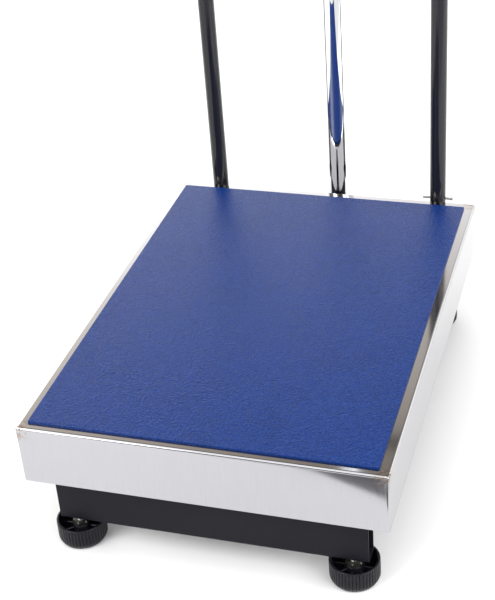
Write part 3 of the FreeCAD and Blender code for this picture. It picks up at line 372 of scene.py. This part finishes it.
looks = {
    "frame_paint": {"tone": (0.008, 0.008, 0.012), "otherTone": (0.010, 0.010, 0.015), "patch": 9,
                    "roughness": (0.42, 0.52), "grain": 1500, "grainDepth": 0.04 * mm,
                    "sockets": {"Specular IOR Level": 0.12}},
    "rail_paint": {"tone": (0.010, 0.010, 0.014), "otherTone": (0.013, 0.013, 0.017), "patch": 12,
                   "roughness": (0.10, 0.17), "grain": 260, "grainDepth": 0.01 * mm,
                   "sockets": {"Coat Weight": 0.15, "Coat Roughness": 0.06, "Specular IOR Level": 0.3}},
    "zinc": {"tone": (0.28, 0.28, 0.27), "otherTone": (0.37, 0.36, 0.34), "patch": 60, "metallic": 1.0,
             "roughness": (0.34, 0.48), "grain": 900, "grainDepth": 0.03 * mm},
    "cell_aluminium": {"tone": (0.70, 0.71, 0.72), "otherTone": (0.77, 0.78, 0.79), "patch": 30,
                       "metallic": 1.0, "roughness": (0.25, 0.36), "grain": 800, "grainDepth": 0.02 * mm},
    "black_rubber": {"tone": (0.018, 0.018, 0.018), "otherTone": (0.026, 0.025, 0.024), "patch": 40,
                     "roughness": (0.62, 0.75), "grain": 1300, "grainDepth": 0.06 * mm},
    "foot_plastic": {"tone": (0.005, 0.005, 0.008), "otherTone": (0.008, 0.008, 0.012), "patch": 50,
                     "roughness": (0.26, 0.36), "grain": 1100, "grainDepth": 0.04 * mm,
                     "sockets": {"Specular IOR Level": 0.20}},
    "head_plastic": {"tone": (0.135, 0.140, 0.150), "otherTone": (0.150, 0.155, 0.165), "patch": 8,
                     "roughness": (0.45, 0.55), "grain": 1900, "grainDepth": 0.08 * mm, "cells": True},
    "window": {"tone": (0.010, 0.012, 0.014), "otherTone": (0.013, 0.015, 0.017), "patch": 5,
               "roughness": (0.04, 0.07), "grain": 30, "grainDepth": 0.005 * mm,
               "sockets": {"Transmission Weight": 0.0, "Alpha": 0.35}},
    "display": {"tone": (0.42, 0.47, 0.35), "otherTone": (0.45, 0.50, 0.38), "patch": 12,
                "roughness": (0.20, 0.26), "grain": 2500, "grainDepth": 0.01 * mm},
    "board": {"tone": (0.012, 0.110, 0.045), "otherTone": (0.018, 0.140, 0.060), "patch": 90,
              "roughness": (0.30, 0.40), "grain": 1400, "grainDepth": 0.05 * mm},
    "key_rubber": {"tone": (0.50, 0.51, 0.53), "otherTone": (0.56, 0.57, 0.58), "patch": 30,
                   "roughness": (0.55, 0.66), "grain": 1500, "grainDepth": 0.04 * mm},
    "battery_case": {"tone": (0.09, 0.09, 0.10), "otherTone": (0.12, 0.12, 0.13), "patch": 30,
                     "roughness": (0.45, 0.55), "grain": 1300, "grainDepth": 0.05 * mm},
    "knob_plastic": {"tone": (0.014, 0.014, 0.014), "otherTone": (0.020, 0.020, 0.020), "patch": 60,
                     "roughness": (0.22, 0.34), "grain": 1200, "grainDepth": 0.03 * mm},
    "brass": {"tone": (0.70, 0.52, 0.24), "otherTone": (0.78, 0.60, 0.30), "patch": 60, "metallic": 1.0,
              "roughness": (0.24, 0.34), "grain": 900, "grainDepth": 0.02 * mm},
    "legend": {"tone": (0.03, 0.03, 0.035), "otherTone": (0.04, 0.04, 0.045), "patch": 60,
               "roughness": (0.50, 0.60), "grain": 1500, "grainDepth": 0.01 * mm},
}
finishes = {name: mottled(name.replace("_", " "), look) for name, look in looks.items()}
finishes["polished_stainless"] = polishedSteel()
finishes["blue_mat"] = matRubber()
finishes["column_chrome"] = chromePlate()
for node in cadNodes.values():
    for holder in node.material_slots:
        holder.material = finishes[holder.material.name.split(".")[0]]
print("materials:", len(finishes))


# platter

platter = {"gauge": 1.5 * mm, "bend": 3.0 * mm, "corner": 2.2 * mm, "rim": 0.3 * mm, "hold": 0.4 * mm,
           "flat": 20 * mm, "cornerBand": 13 * mm, "cornerDraw": 0.45 * mm, "drawStart": 4 * mm,
           "wallZone": 5 * mm, "bendSteps": 9, "innerSteps": 6, "cornerSteps": 6, "sideSteps": 26}


def makePlatter():
    # half section of the folded pan, from the middle of its top round the bend, down the skirt and
    # back up inside, carried round the rounded rectangle; near each upright corner the sheet
    # draws in by the square of how far it is inside the corner band
    low, high = boxOf("platter_cover")
    half, top, bottom = (high - low) / 2, high[2], low[2]
    middle = (top + bottom) / 2
    gauge, bend, rim, hold = (platter[size] for size in ("gauge", "bend", "rim", "hold"))
    inner = bend - gauge
    outside = roundOver(bend, platter["bendSteps"], 0, top)
    inside = roundOver(inner, platter["innerSteps"], gauge, top - gauge)[::-1]
    profile = np.concatenate([
        [(half[0], top), (platter["flat"], top), (bend + hold, top)],
        outside,
        [(0, top - bend - hold), (0, middle), (0, bottom + rim + hold), (0, bottom + rim)],
        [(rim, bottom), (gauge - rim, bottom)],
        [(gauge, bottom + rim), (gauge, middle), (gauge, top - gauge - inner - hold)],
        inside,
        [(bend + hold, top - gauge), (half[0], top - gauge)]])
    rings = stacked(half[0], half[1], platter["corner"], profile,
                    arcSteps=platter["cornerSteps"], sideSteps=platter["sideSteps"])
    skirt = np.clip((top - bend - rings[..., 2]) / platter["drawStart"], 0, 1)
    for axis, other in ((0, 1), (1, 0)):
        inBand = 1 - (half[other] - np.abs(rings[..., other])) / platter["cornerBand"]
        draw = platter["cornerDraw"] * np.clip(inBand, 0, 1) ** 2 * skirt
        onWall = np.abs(rings[..., axis]) > half[axis] - platter["wallZone"]
        rings[..., axis] -= np.sign(rings[..., axis]) * draw * onWall
    rings += axisOf(low, high)
    makePiece("folded_platter", [(rings, False, True)], finishes["polished_stainless"], "platter",
              ("platter_cover",), 50)


mat = {"corner": 2 * mm, "edge": 0.8 * mm, "hold": 0.3 * mm, "underEdge": 0.2 * mm, "edgeSteps": 5}


def makeMat():
    # a rounded slab with its top edge rounded over
    low, high = boxOf("anti_slip_mat")
    half, edge, underEdge = (high - low) / 2, mat["edge"], mat["underEdge"]
    profile = np.concatenate([
        [(half[0], high[2]), (edge + mat["hold"], high[2])],
        roundOver(edge, mat["edgeSteps"], 0, high[2]),
        [(0, low[2] + underEdge), (underEdge, low[2]), (half[0], low[2])]])
    rings = stacked(half[0], half[1], mat["corner"], profile, axisOf(low, high))
    makePiece("embossed_mat", [(rings, False, True)], finishes["blue_mat"], "platter",
              ("anti_slip_mat",))


makePlatter()
makeMat()
print("platter and mat made")


# column, its socket and the guard rail

column = {"wall": 1.5 * mm, "lip": 0.4 * mm, "around": 160}


def makeColumn():
    # tube wall: outside, eased lip, inside and lip again, spun round the column's axis
    low, high = boxOf("column")
    radius, lip = (high[0] - low[0]) / 2, column["lip"]
    bore = radius - column["wall"]
    profile = [(radius, low[2] + lip), (radius, (low[2] + high[2]) / 2), (radius, high[2] - lip),
               (radius - lip, high[2]), (bore + lip, high[2]), (bore, high[2] - lip),
               (bore, low[2] + lip), (bore + lip, low[2]), (radius - lip, low[2])]
    wall = turned(profile, column["around"], axisOf(low, high))
    makePiece("chrome_column", [(wall, True, True)], finishes["column_chrome"], "base",
              ("column",))


socket = {"top": 114 * mm, "bore": 20.15 * mm, "round": 1.6 * mm, "lip": 0.4 * mm, "around": 120,
          "roundSteps": 7, "bead": 2.6 * mm, "beadSteps": 14, "ripples": 52, "rippleSteps": 8, "swell": 0.12}


def makeSocket():
    # tube with its top edge rounded over, low enough to stay hidden behind the platter
    low, high = boxOf("column_socket")
    radius, centre = (high[0] - low[0]) / 2, axisOf(low, high)
    top, bore, lip = socket["top"], socket["bore"], socket["lip"]
    over = roundOver(socket["round"], socket["roundSteps"], 0, top)[::-1]
    profile = [(radius, low[2]), (radius, (low[2] + high[2]) / 2),
               *((radius - inset, height) for inset, height in over),
               (bore + lip, top), (bore, top - lip), (bore, low[2])]
    surfaces = [(turned(profile, socket["around"], centre), True, True),
                (weldRing(radius, low[2]) + centre, True, True)]
    makePiece("welded_column_socket", surfaces, finishes["frame_paint"], "base",
              ("column_socket",), 50)


def weldRing(radius, height):
    # a bead laid round a tube's foot: the radius of its round section swells and shrinks with the
    # cosine of the angle times the number of ripples; only what stands above the plate is kept
    angle = wholeTurn(socket["ripples"] * socket["rippleSteps"])
    section = socket["bead"] * (1 + socket["swell"] * np.cos(angle * socket["ripples"]))
    turn = wholeTurn(socket["beadSteps"])
    reach = radius + section[:, None] * np.cos(turn)
    upward = np.maximum(height + section[:, None] * np.sin(turn), height)
    return spun(angle, reach, upward)


rail = {"bend": 70 * mm, "wall": 1.5 * mm, "endStep": 0.5 * mm, "bendStart": 1 * mm, "bendSteps": 28,
        "around": 48}


def railPath(low, high):
    # centre line of the hoop: up the left leg, a quarter turn, across, a quarter turn, down
    radius = (high[1] - low[1]) / 2
    left, right, crown = low[0] + radius, high[0] - radius, high[2] - radius
    bend = rail["bend"]
    turn = np.linspace(0, math.pi / 2, rail["bendSteps"])
    sine, cosine = np.sin(turn), np.cos(turn)
    legHeights = (low[2], low[2] + rail["endStep"], crown - bend - rail["bendStart"])
    flat = np.concatenate([
        [(left, height) for height in legHeights],
        np.stack([left + bend * (1 - cosine), crown - bend * (1 - sine)], axis=1),
        np.stack([right - bend * (1 - sine), crown - bend * (1 - cosine)], axis=1),
        [(right, height) for height in reversed(legHeights)]])
    tangent = np.concatenate([
        [(0, 1)] * len(legHeights),
        np.stack([sine, cosine], axis=1),
        np.stack([cosine, -sine], axis=1),
        [(0, -1)] * len(legHeights)])
    middle = np.full(len(flat), (low[1] + high[1]) / 2)
    path = np.stack([flat[:, 0], middle, flat[:, 1]], axis=1)
    return path, np.stack([tangent[:, 0], np.zeros(len(flat)), tangent[:, 1]], axis=1), radius


def makeGuardRail():
    # a round tube carried along the hoop, its bore carried with it and joined to it at both ends
    path, tangent, radius = railPath(*boxOf("guard_rail"))
    side = np.array([0.0, 1.0, 0.0])
    outer = carried(path, tangent, side, circleProfile(radius, rail["around"]))
    inner = carried(path, tangent, side, circleProfile(radius - rail["wall"], rail["around"]))
    wall = np.concatenate([outer, inner[::-1]])
    makePiece("bent_guard_rail", [(wall, True, True)], finishes["rail_paint"], "base",
              ("guard_rail",))


makeColumn()
makeSocket()
makeGuardRail()
print("column and guard rail made")


# levelling feet

foot = {"wall": 3.2 * mm, "floor": 7 * mm, "chamfer": 5 * mm, "lip": 0.7 * mm, "soften": 0.6 * mm,
        "ribs": 46, "ribDepth": 1.1 * mm, "ribSteps": 12, "ribSharpness": 0.7,
        "boss": 11 * mm, "bossTop": 20 * mm, "bore": 6.05 * mm, "padRecess": 22.35 * mm, "recess": 2.05 * mm,
        "webs": 8, "web": 2.4 * mm, "webTop": 17 * mm, "webSink": 0.5 * mm, "webEase": 0.3 * mm}


def makeCup(tag):
    # the section of the open cup spun round its axis; outside, the radius dips between ribs
    # by a power of the cosine, fading out at the rim and on the lower chamfer
    low, high = boxOf(tag + "_foot_cup")
    radius, height = (high[0] - low[0]) / 2, high[2] - low[2]
    centre = axisOf(low, high, low[2])
    lip, chamfer, soften = foot["lip"], foot["chamfer"], foot["soften"]
    floor, boss, bossTop = foot["floor"], foot["boss"], foot["bossTop"]
    bore, recess, padRecess = foot["bore"], foot["recess"], foot["padRecess"]
    hollow = radius - foot["wall"]
    # (radius, height, share of the ribs' depth), from the chamfer's foot up to the rim
    outside = [(radius - chamfer * 0.62, 0, 0), (radius - chamfer * 0.5, 0.25 * mm, 0.3),
               (radius - 0.4 * mm, chamfer - soften, 1), (radius, chamfer + soften, 1),
               (radius, height / 2, 1), (radius, height - 3 * lip, 1), (radius, height - 2 * lip, 0.9),
               (radius - 0.2 * lip, height - lip, 0.25), (radius - lip, height - 0.3 * lip, 0),
               (radius - 1.4 * lip, height, 0)]
    # (radius, height), from the rim down to the floor, up over the boss and down its bore to the pad
    inside = [(hollow + lip, height), (hollow, height - lip), (hollow, height / 2), (hollow, floor + lip),
              (hollow - lip, floor), (boss + 1.5 * mm, floor), (boss + 0.8 * mm, floor + mm),
              (boss, bossTop - 0.5 * mm), (boss - 0.5 * mm, bossTop), (bore, bossTop), (bore, recess),
              (padRecess, recess), (padRecess, 0)]
    section = np.array(outside + [(reach, up, 0) for reach, up in inside])
    angle = wholeTurn(foot["ribs"] * foot["ribSteps"])
    valley = 1 - np.abs(np.cos(angle * foot["ribs"] / 2)) ** foot["ribSharpness"]
    dip = foot["ribDepth"] * valley[:, None] * section[:, 2]
    surfaces = [(spun(angle, section[:, 0] - dip, section[:, 1]) + centre, True, True)]
    for turn in wholeTurn(foot["webs"]):
        surfaces.append((webOf(turn, hollow) + centre, False, True))
    makePiece(tag + "_knurled_cup", surfaces, finishes["foot_plastic"], tag + "_foot",
              (tag + "_foot_cup",), 42)


def webOf(angle, hollow):
    # a thin upright plate from the boss to the wall, its top edge eased, turned to its place
    start, end = foot["boss"] - foot["webSink"], hollow + foot["webSink"]
    base, top = foot["floor"] - foot["webSink"], foot["webTop"]
    half, ease = foot["web"] / 2, foot["webEase"]
    profile = [(half, base), (0, base), (0, top - ease), (ease, top), (half, top)]
    rings = stacked((end - start) / 2, half, 0, profile, ((start + end) / 2, 0, 0), 1, 2)
    sine, cosine = math.sin(angle), math.cos(angle)
    return rings @ np.array([[cosine, sine, 0], [-sine, cosine, 0], [0, 0, 1]])


stud = {"radius": 6 * mm, "tip": 5 * mm, "pitch": 1.75 * mm, "threadDepth": 0.9 * mm, "flank": 1.5,
        "crest": 1.25, "around": 32, "rowsPerPitch": 7}
nut = {"flat": 19 * mm, "height": 6 * mm, "bore": 5.9 * mm, "cut": 0.09, "cone": 1.02, "around": 96}


def makeStud(tag):
    # screw thread: the radius is a rounded saw of height over pitch less the angle's share of a turn,
    # so the crest climbs one pitch a turn; it fades out at both ends, and the top end is a cone
    low, high = boxOf(tag + "_foot_stud")
    centre = axisOf(*boxOf(tag + "_foot_pad"))
    around, pitch = stud["around"], stud["pitch"]
    angle = wholeTurn(around)
    height = np.linspace(low[2], high[2], int((high[2] - low[2]) / pitch * stud["rowsPerPitch"]))
    phase = (height[None, :] / pitch - angle[:, None] / (2 * math.pi)) % 1
    groove = np.clip(stud["crest"] - np.abs(phase * 2 - 1) * stud["flank"], 0, 1)
    ends = np.clip(np.minimum(height - low[2], high[2] - height) / pitch, 0, 1)
    reach = stud["radius"] - stud["threadDepth"] * groove * ends
    reach = np.minimum(reach, stud["tip"] + (high[2] - height))
    poles = [np.zeros((around, 1, 3)) + (0, 0, end) for end in (low[2], high[2])]
    rod = np.concatenate([poles[0], spun(angle, reach, height), poles[1]], axis=1) + centre
    seat = axisOf(*boxOf(tag + "_foot_pad"), boxOf(tag + "_foot_cup")[0][2] + foot["bossTop"])
    makePiece(tag + "_threaded_stud", [(rod, True, False), (hexNut() + seat, True, True)], finishes["zinc"],
              tag + "_foot", (tag + "_foot_stud",), 30)


def hexNut():
    # a hexagon's edge is half its flat over the cosine of the angle from the middle of its side;
    # the cone that faces it holds the corners to a circle at top and bottom
    angle, flat, height = wholeTurn(nut["around"]), nut["flat"], nut["height"]
    sixth = math.pi / 3
    side = flat / 2 / np.cos((angle + sixth / 2) % sixth - sixth / 2)
    faced = np.minimum(side, flat / 2 * nut["cone"])
    bore, cut = np.full(len(angle), nut["bore"]), nut["cut"] * flat
    reach = np.stack([bore, bore, faced, side, side, faced], axis=1)
    return spun(angle, reach, np.array([0, height, height, height - cut, cut, 0]))


for end in ("front", "rear"):
    for hand in ("left", "right"):
        makeCup(end + "_" + hand)
        makeStud(end + "_" + hand)
print("levelling feet made")


# indicator head: figures on the display and signs on the keys

press = Vector(joints["key_1_press"]["axis"])          # straight into the head's face
pivot = Vector(joints["indicator_tilt"]["pos_m"])
headTilt = math.atan2(-press.z, press.y)
toHead = Matrix.Rotation(headTilt, 4, "X") @ Matrix.Translation(-pivot)    # head stood upright at its pivot
fromHead = toHead.inverted()


def headBox(node):
    # lowest and highest corner of a node with the head stood upright
    points = np.array([toHead @ v.co for v in cadNodes[node].data.vertices])
    return points.min(axis=0), points.max(axis=0)


def plateOnFace(outline, front, thickness):
    # a flat shape (x, z) on the head's face: its outline at the front and back, closed by poles
    outline = np.asarray(outline, float)
    middle = outline.mean(axis=0)
    rings = []
    for scale, depth in ((0, 0), (1, 0), (1, thickness), (0, thickness)):
        flat = middle + (outline - middle) * scale
        rings.append(np.stack([flat[:, 0], np.full(len(flat), front - depth), flat[:, 1]], axis=1))
    turn, shift = np.array(fromHead.to_3x3()), np.array(fromHead.translation)
    return np.array(rings) @ turn.T + shift


# the last figure starts at "last", right of the display's middle, and the others follow to its left
figures = {"reading": "0.00", "height": 30 * mm, "width": 16 * mm, "stroke": 3.4 * mm, "gap": 0.5 * mm,
           "pitch": 24 * mm, "last": 30 * mm, "slant": 0.12, "thickness": 0.15 * mm, "dotGap": 4 * mm,
           "dotShare": 0.55, "dotSteps": 16}
segmentsOf = {"0": "abcdef", "1": "bc", "2": "abged", "3": "abgcd", "4": "fgbc", "5": "afgcd",
              "6": "afgedc", "7": "abc", "8": "abcdefg", "9": "abcdfg"}


def segment(start, end):
    # a long hexagon that points at both of its ends
    run = (end - start) / np.linalg.norm(end - start)
    across = np.array([-run[1], run[0]])
    stroke = figures["stroke"]
    start, end = start + run * figures["gap"], end - run * figures["gap"]
    return np.array([start, start + (run + across) * stroke / 2, end + (across - run) * stroke / 2,
                     end, end - (run + across) * stroke / 2, start + (run - across) * stroke / 2])


def makeFigures():
    # seven-segment figures, set from the last to the first and leaning with their height
    low, high = headBox("display_module")
    front, middle = low[1], (low + high) / 2
    h, w = figures["height"], figures["width"]
    ends = {"a": ((0, h), (w, h)), "b": ((w, h), (w, h / 2)), "c": ((w, h / 2), (w, 0)),
            "d": ((0, 0), (w, 0)), "e": ((0, h / 2), (0, 0)), "f": ((0, h), (0, h / 2)),
            "g": ((0, h / 2), (w, h / 2))}
    shapes, pen, baseline = [], middle[0] + figures["last"], middle[2] - h / 2
    for sign in reversed(figures["reading"]):
        if sign == ".":
            dot = circleProfile(figures["stroke"] * figures["dotShare"], figures["dotSteps"])
            shapes.append(dot + (pen + w + figures["dotGap"], baseline))
            continue
        for name in segmentsOf[sign]:
            hexagon = segment(np.array(ends[name][0]), np.array(ends[name][1]))
            hexagon[:, 0] += hexagon[:, 1] * figures["slant"] + pen
            hexagon[:, 1] += baseline
            shapes.append(hexagon)
        pen -= figures["pitch"]
    surfaces = [(plateOnFace(shape, front, figures["thickness"]), False, True) for shape in shapes]
    makePiece("display_figures", surfaces, finishes["legend"], "indicator")


keySign = {"size": 3.2 * mm, "thickness": 0.1 * mm, "barHalf": 0.22, "barLift": 0.5, "arrowFoot": 0.7,
           "disc": 0.8, "discSteps": 24}


def makeKeySign(number):
    # one plain sign on each key: a bar, two bars, a disc, an arrow up, an arrow down
    low, high = headBox("key_%d" % number)
    front, middle = low[1], (low + high) / 2
    size, thin, lift = keySign["size"], keySign["barHalf"], (0, keySign["size"] * keySign["barLift"])
    bar = np.array([(-1, -thin), (1, -thin), (1, thin), (-1, thin)]) * size
    arrow = np.array([(-1, -keySign["arrowFoot"]), (1, -keySign["arrowFoot"]), (0, 1)]) * size
    disc = circleProfile(size * keySign["disc"], keySign["discSteps"])
    shapes = ([bar], [bar + lift, bar - lift], [disc], [arrow], [-arrow])[number - 1]
    surfaces = [(plateOnFace(shape + (middle[0], middle[2]), front, keySign["thickness"]), False, True)
                for shape in shapes]
    makePiece("key_%d_sign" % number, surfaces, finishes["legend"], "key_%d" % number)


makeFigures()
for number in range(1, 6):
    makeKeySign(number)
print("head figures and key signs made")


# stage: floor, studio light and camera

shot = {"place": (0.45134, -1.49348, 1.13574), "yaw": -0.326, "pitch": 0.568, "roll": -0.078, "lens": 84.27}
floorSheet = {"edgePoint": (0.071, -0.582), "reach": 6.0, "tone": (0.88, 0.88, 0.885),
              "roughness": (0.65, 0.75)}
# the room's light as (sine of the height angle, colour), behind the scale and on the near side;
# it crosses from near to far and from left to right over these parts of the direction
farLight = ((-1.0, (0.26, 0.25, 0.26)), (-0.5, (0.26, 0.25, 0.26)), (-0.36, (0.04, 0.04, 0.045)),
            (-0.01, (0.04, 0.04, 0.045)), (0.01, (2.7, 2.7, 2.7)), (0.42, (2.7, 2.7, 2.7)),
            (0.53, (1.15, 1.08, 1.00)), (0.62, (0.55, 0.48, 0.40)), (0.68, (0.12, 0.10, 0.09)),
            (0.8, (0.10, 0.10, 0.10)))
nearLight = ((-1.0, (0.26, 0.25, 0.26)), (-0.56, (0.26, 0.25, 0.26)), (-0.50, (1.3, 1.3, 1.32)),
             (-0.03, (1.3, 1.3, 1.32)), (0.0, (0.05, 0.045, 0.04)), (0.5, (0.10, 0.085, 0.07)),
             (0.8, (0.12, 0.12, 0.12)))
room = {"nearToFar": (-0.1, 0.25), "leftToRight": (-0.5, 0.0), "strengths": (1.45, 0.75)}
skylight = {"height": 68, "bearing": 200, "spread": 80, "strength": 2.3}
softboxes = {"left softbox": {"place": (-1.3, -1.9, 1.4), "target": (0.0, -0.3, 0.0), "size": (1.0, 1.2),
                              "power": 28},
             "right softbox": {"place": (2.1, -0.7, 1.5), "target": (0.3, 0.0, 0.0), "size": (2.2, 2.0),
                               "power": 62}}


def makeFloor():
    # a white sheet that ends just in front of the scale, along a line square to the camera's view
    along = np.array([math.cos(shot["yaw"]), -math.sin(shot["yaw"])]) * floorSheet["reach"]
    start, back = np.array(floorSheet["edgePoint"]), np.array([0, 2 * floorSheet["reach"]])
    corners = (start - along, start + along, start + along + back, start - along + back)
    mesh = bpy.data.meshes.new("floor")
    mesh.from_pydata([(x, y, 0) for x, y in corners], [], [(0, 1, 2, 3)])
    graph = Graph("floor", floorSheet["tone"], floorSheet["roughness"][1])
    graph.feed("Roughness", graph.span(graph.noise(3, 2), *floorSheet["roughness"]))
    mesh.materials.append(graph.material)
    linked("floor", mesh)


def makeWorld():
    # light by direction alone: a bright low wall behind the scale, brighter to the left, that browns and
    # fades upwards, and a dim brown room on the near side; below the horizon it is dark behind the scale,
    # and on the near side bright half way down, so that low views find light. The camera sees plain white
    world = bpy.data.worlds.new("studio")
    bpy.context.scene.world = world
    world.use_nodes = True
    tree = world.node_tree
    tree.nodes.clear()
    parts = tree.nodes.new("ShaderNodeSeparateXYZ")
    tree.links.new(tree.nodes.new("ShaderNodeTexCoord").outputs["Generated"], parts.inputs["Vector"])
    across, inward, up = (parts.outputs[axis] for axis in ("X", "Y", "Z"))
    height = spanned(tree, up, fromLow=-1, fromHigh=1)
    nearColor, farColor = (toned(tree, height, [((sine + 1) / 2, color) for sine, color in stops])
                           for stops in (nearLight, farLight))
    choose = tree.nodes.new("ShaderNodeMix")
    choose.data_type = "RGBA"
    tree.links.new(spanned(tree, inward, 0, 1, *room["nearToFar"]), choose.inputs[0])
    tree.links.new(nearColor, choose.inputs[6])
    tree.links.new(farColor, choose.inputs[7])
    light = tree.nodes.new("ShaderNodeBackground")
    tree.links.new(choose.outputs[2], light.inputs["Color"])
    tree.links.new(spanned(tree, across, *room["strengths"], *room["leftToRight"]), light.inputs["Strength"])
    seen = tree.nodes.new("ShaderNodeBackground")
    seen.inputs["Color"].default_value = (1, 1, 1, 1)
    both = tree.nodes.new("ShaderNodeMixShader")
    tree.links.new(tree.nodes.new("ShaderNodeLightPath").outputs["Is Camera Ray"], both.inputs[0])
    tree.links.new(light.outputs["Background"], both.inputs[1])
    tree.links.new(seen.outputs["Background"], both.inputs[2])
    out = tree.nodes.new("ShaderNodeOutputWorld")
    tree.links.new(both.outputs["Shader"], out.inputs["Surface"])


def aimed(direction):
    # the turn that makes a lamp shine along a direction
    return direction.to_track_quat("-Z", "Y").to_matrix().to_4x4()


def makeSoftbox(name, box):
    lamp = bpy.data.lights.new(name, "AREA")
    lamp.shape = "RECTANGLE"
    lamp.size, lamp.size_y = box["size"]
    lamp.energy = box["power"]
    aim = Vector(box["target"]) - Vector(box["place"])
    linked(name, lamp).matrix_world = Matrix.Translation(box["place"]) @ aimed(aim)


def makeSkylight():
    # an even disc of light, as wide as its spread in degrees, high up on the near side
    lamp = bpy.data.lights.new("skylight", "SUN")
    lamp.angle = math.radians(skylight["spread"])
    lamp.energy = skylight["strength"]
    up, bearing = math.radians(skylight["height"]), math.radians(skylight["bearing"])
    place = Vector((math.sin(bearing) * math.cos(up), math.cos(bearing) * math.cos(up), math.sin(up)))
    linked("skylight", lamp).matrix_world = aimed(-place)


def makeCamera():
    yaw, pitch, roll = shot["yaw"], shot["pitch"], shot["roll"]
    forward = Vector((math.sin(yaw) * math.cos(pitch), math.cos(yaw) * math.cos(pitch), -math.sin(pitch)))
    level = Vector((math.cos(yaw), -math.sin(yaw), 0))
    upward = level.cross(forward)
    right = level * math.cos(roll) + upward * math.sin(roll)
    up = upward * math.cos(roll) - level * math.sin(roll)
    lens = bpy.data.cameras.new("camera")
    lens.lens = shot["lens"]
    camera = linked("camera", lens)
    turn = Matrix((right, up, -forward)).transposed().to_4x4()
    camera.matrix_world = Matrix.Translation(shot["place"]) @ turn
    bpy.context.scene.camera = camera


makeFloor()
makeWorld()
makeSkylight()
for name, box in softboxes.items():
    makeSoftbox(name, box)
makeCamera()
bpy.context.scene.view_settings.view_transform = "Standard"
print("stage and camera set")
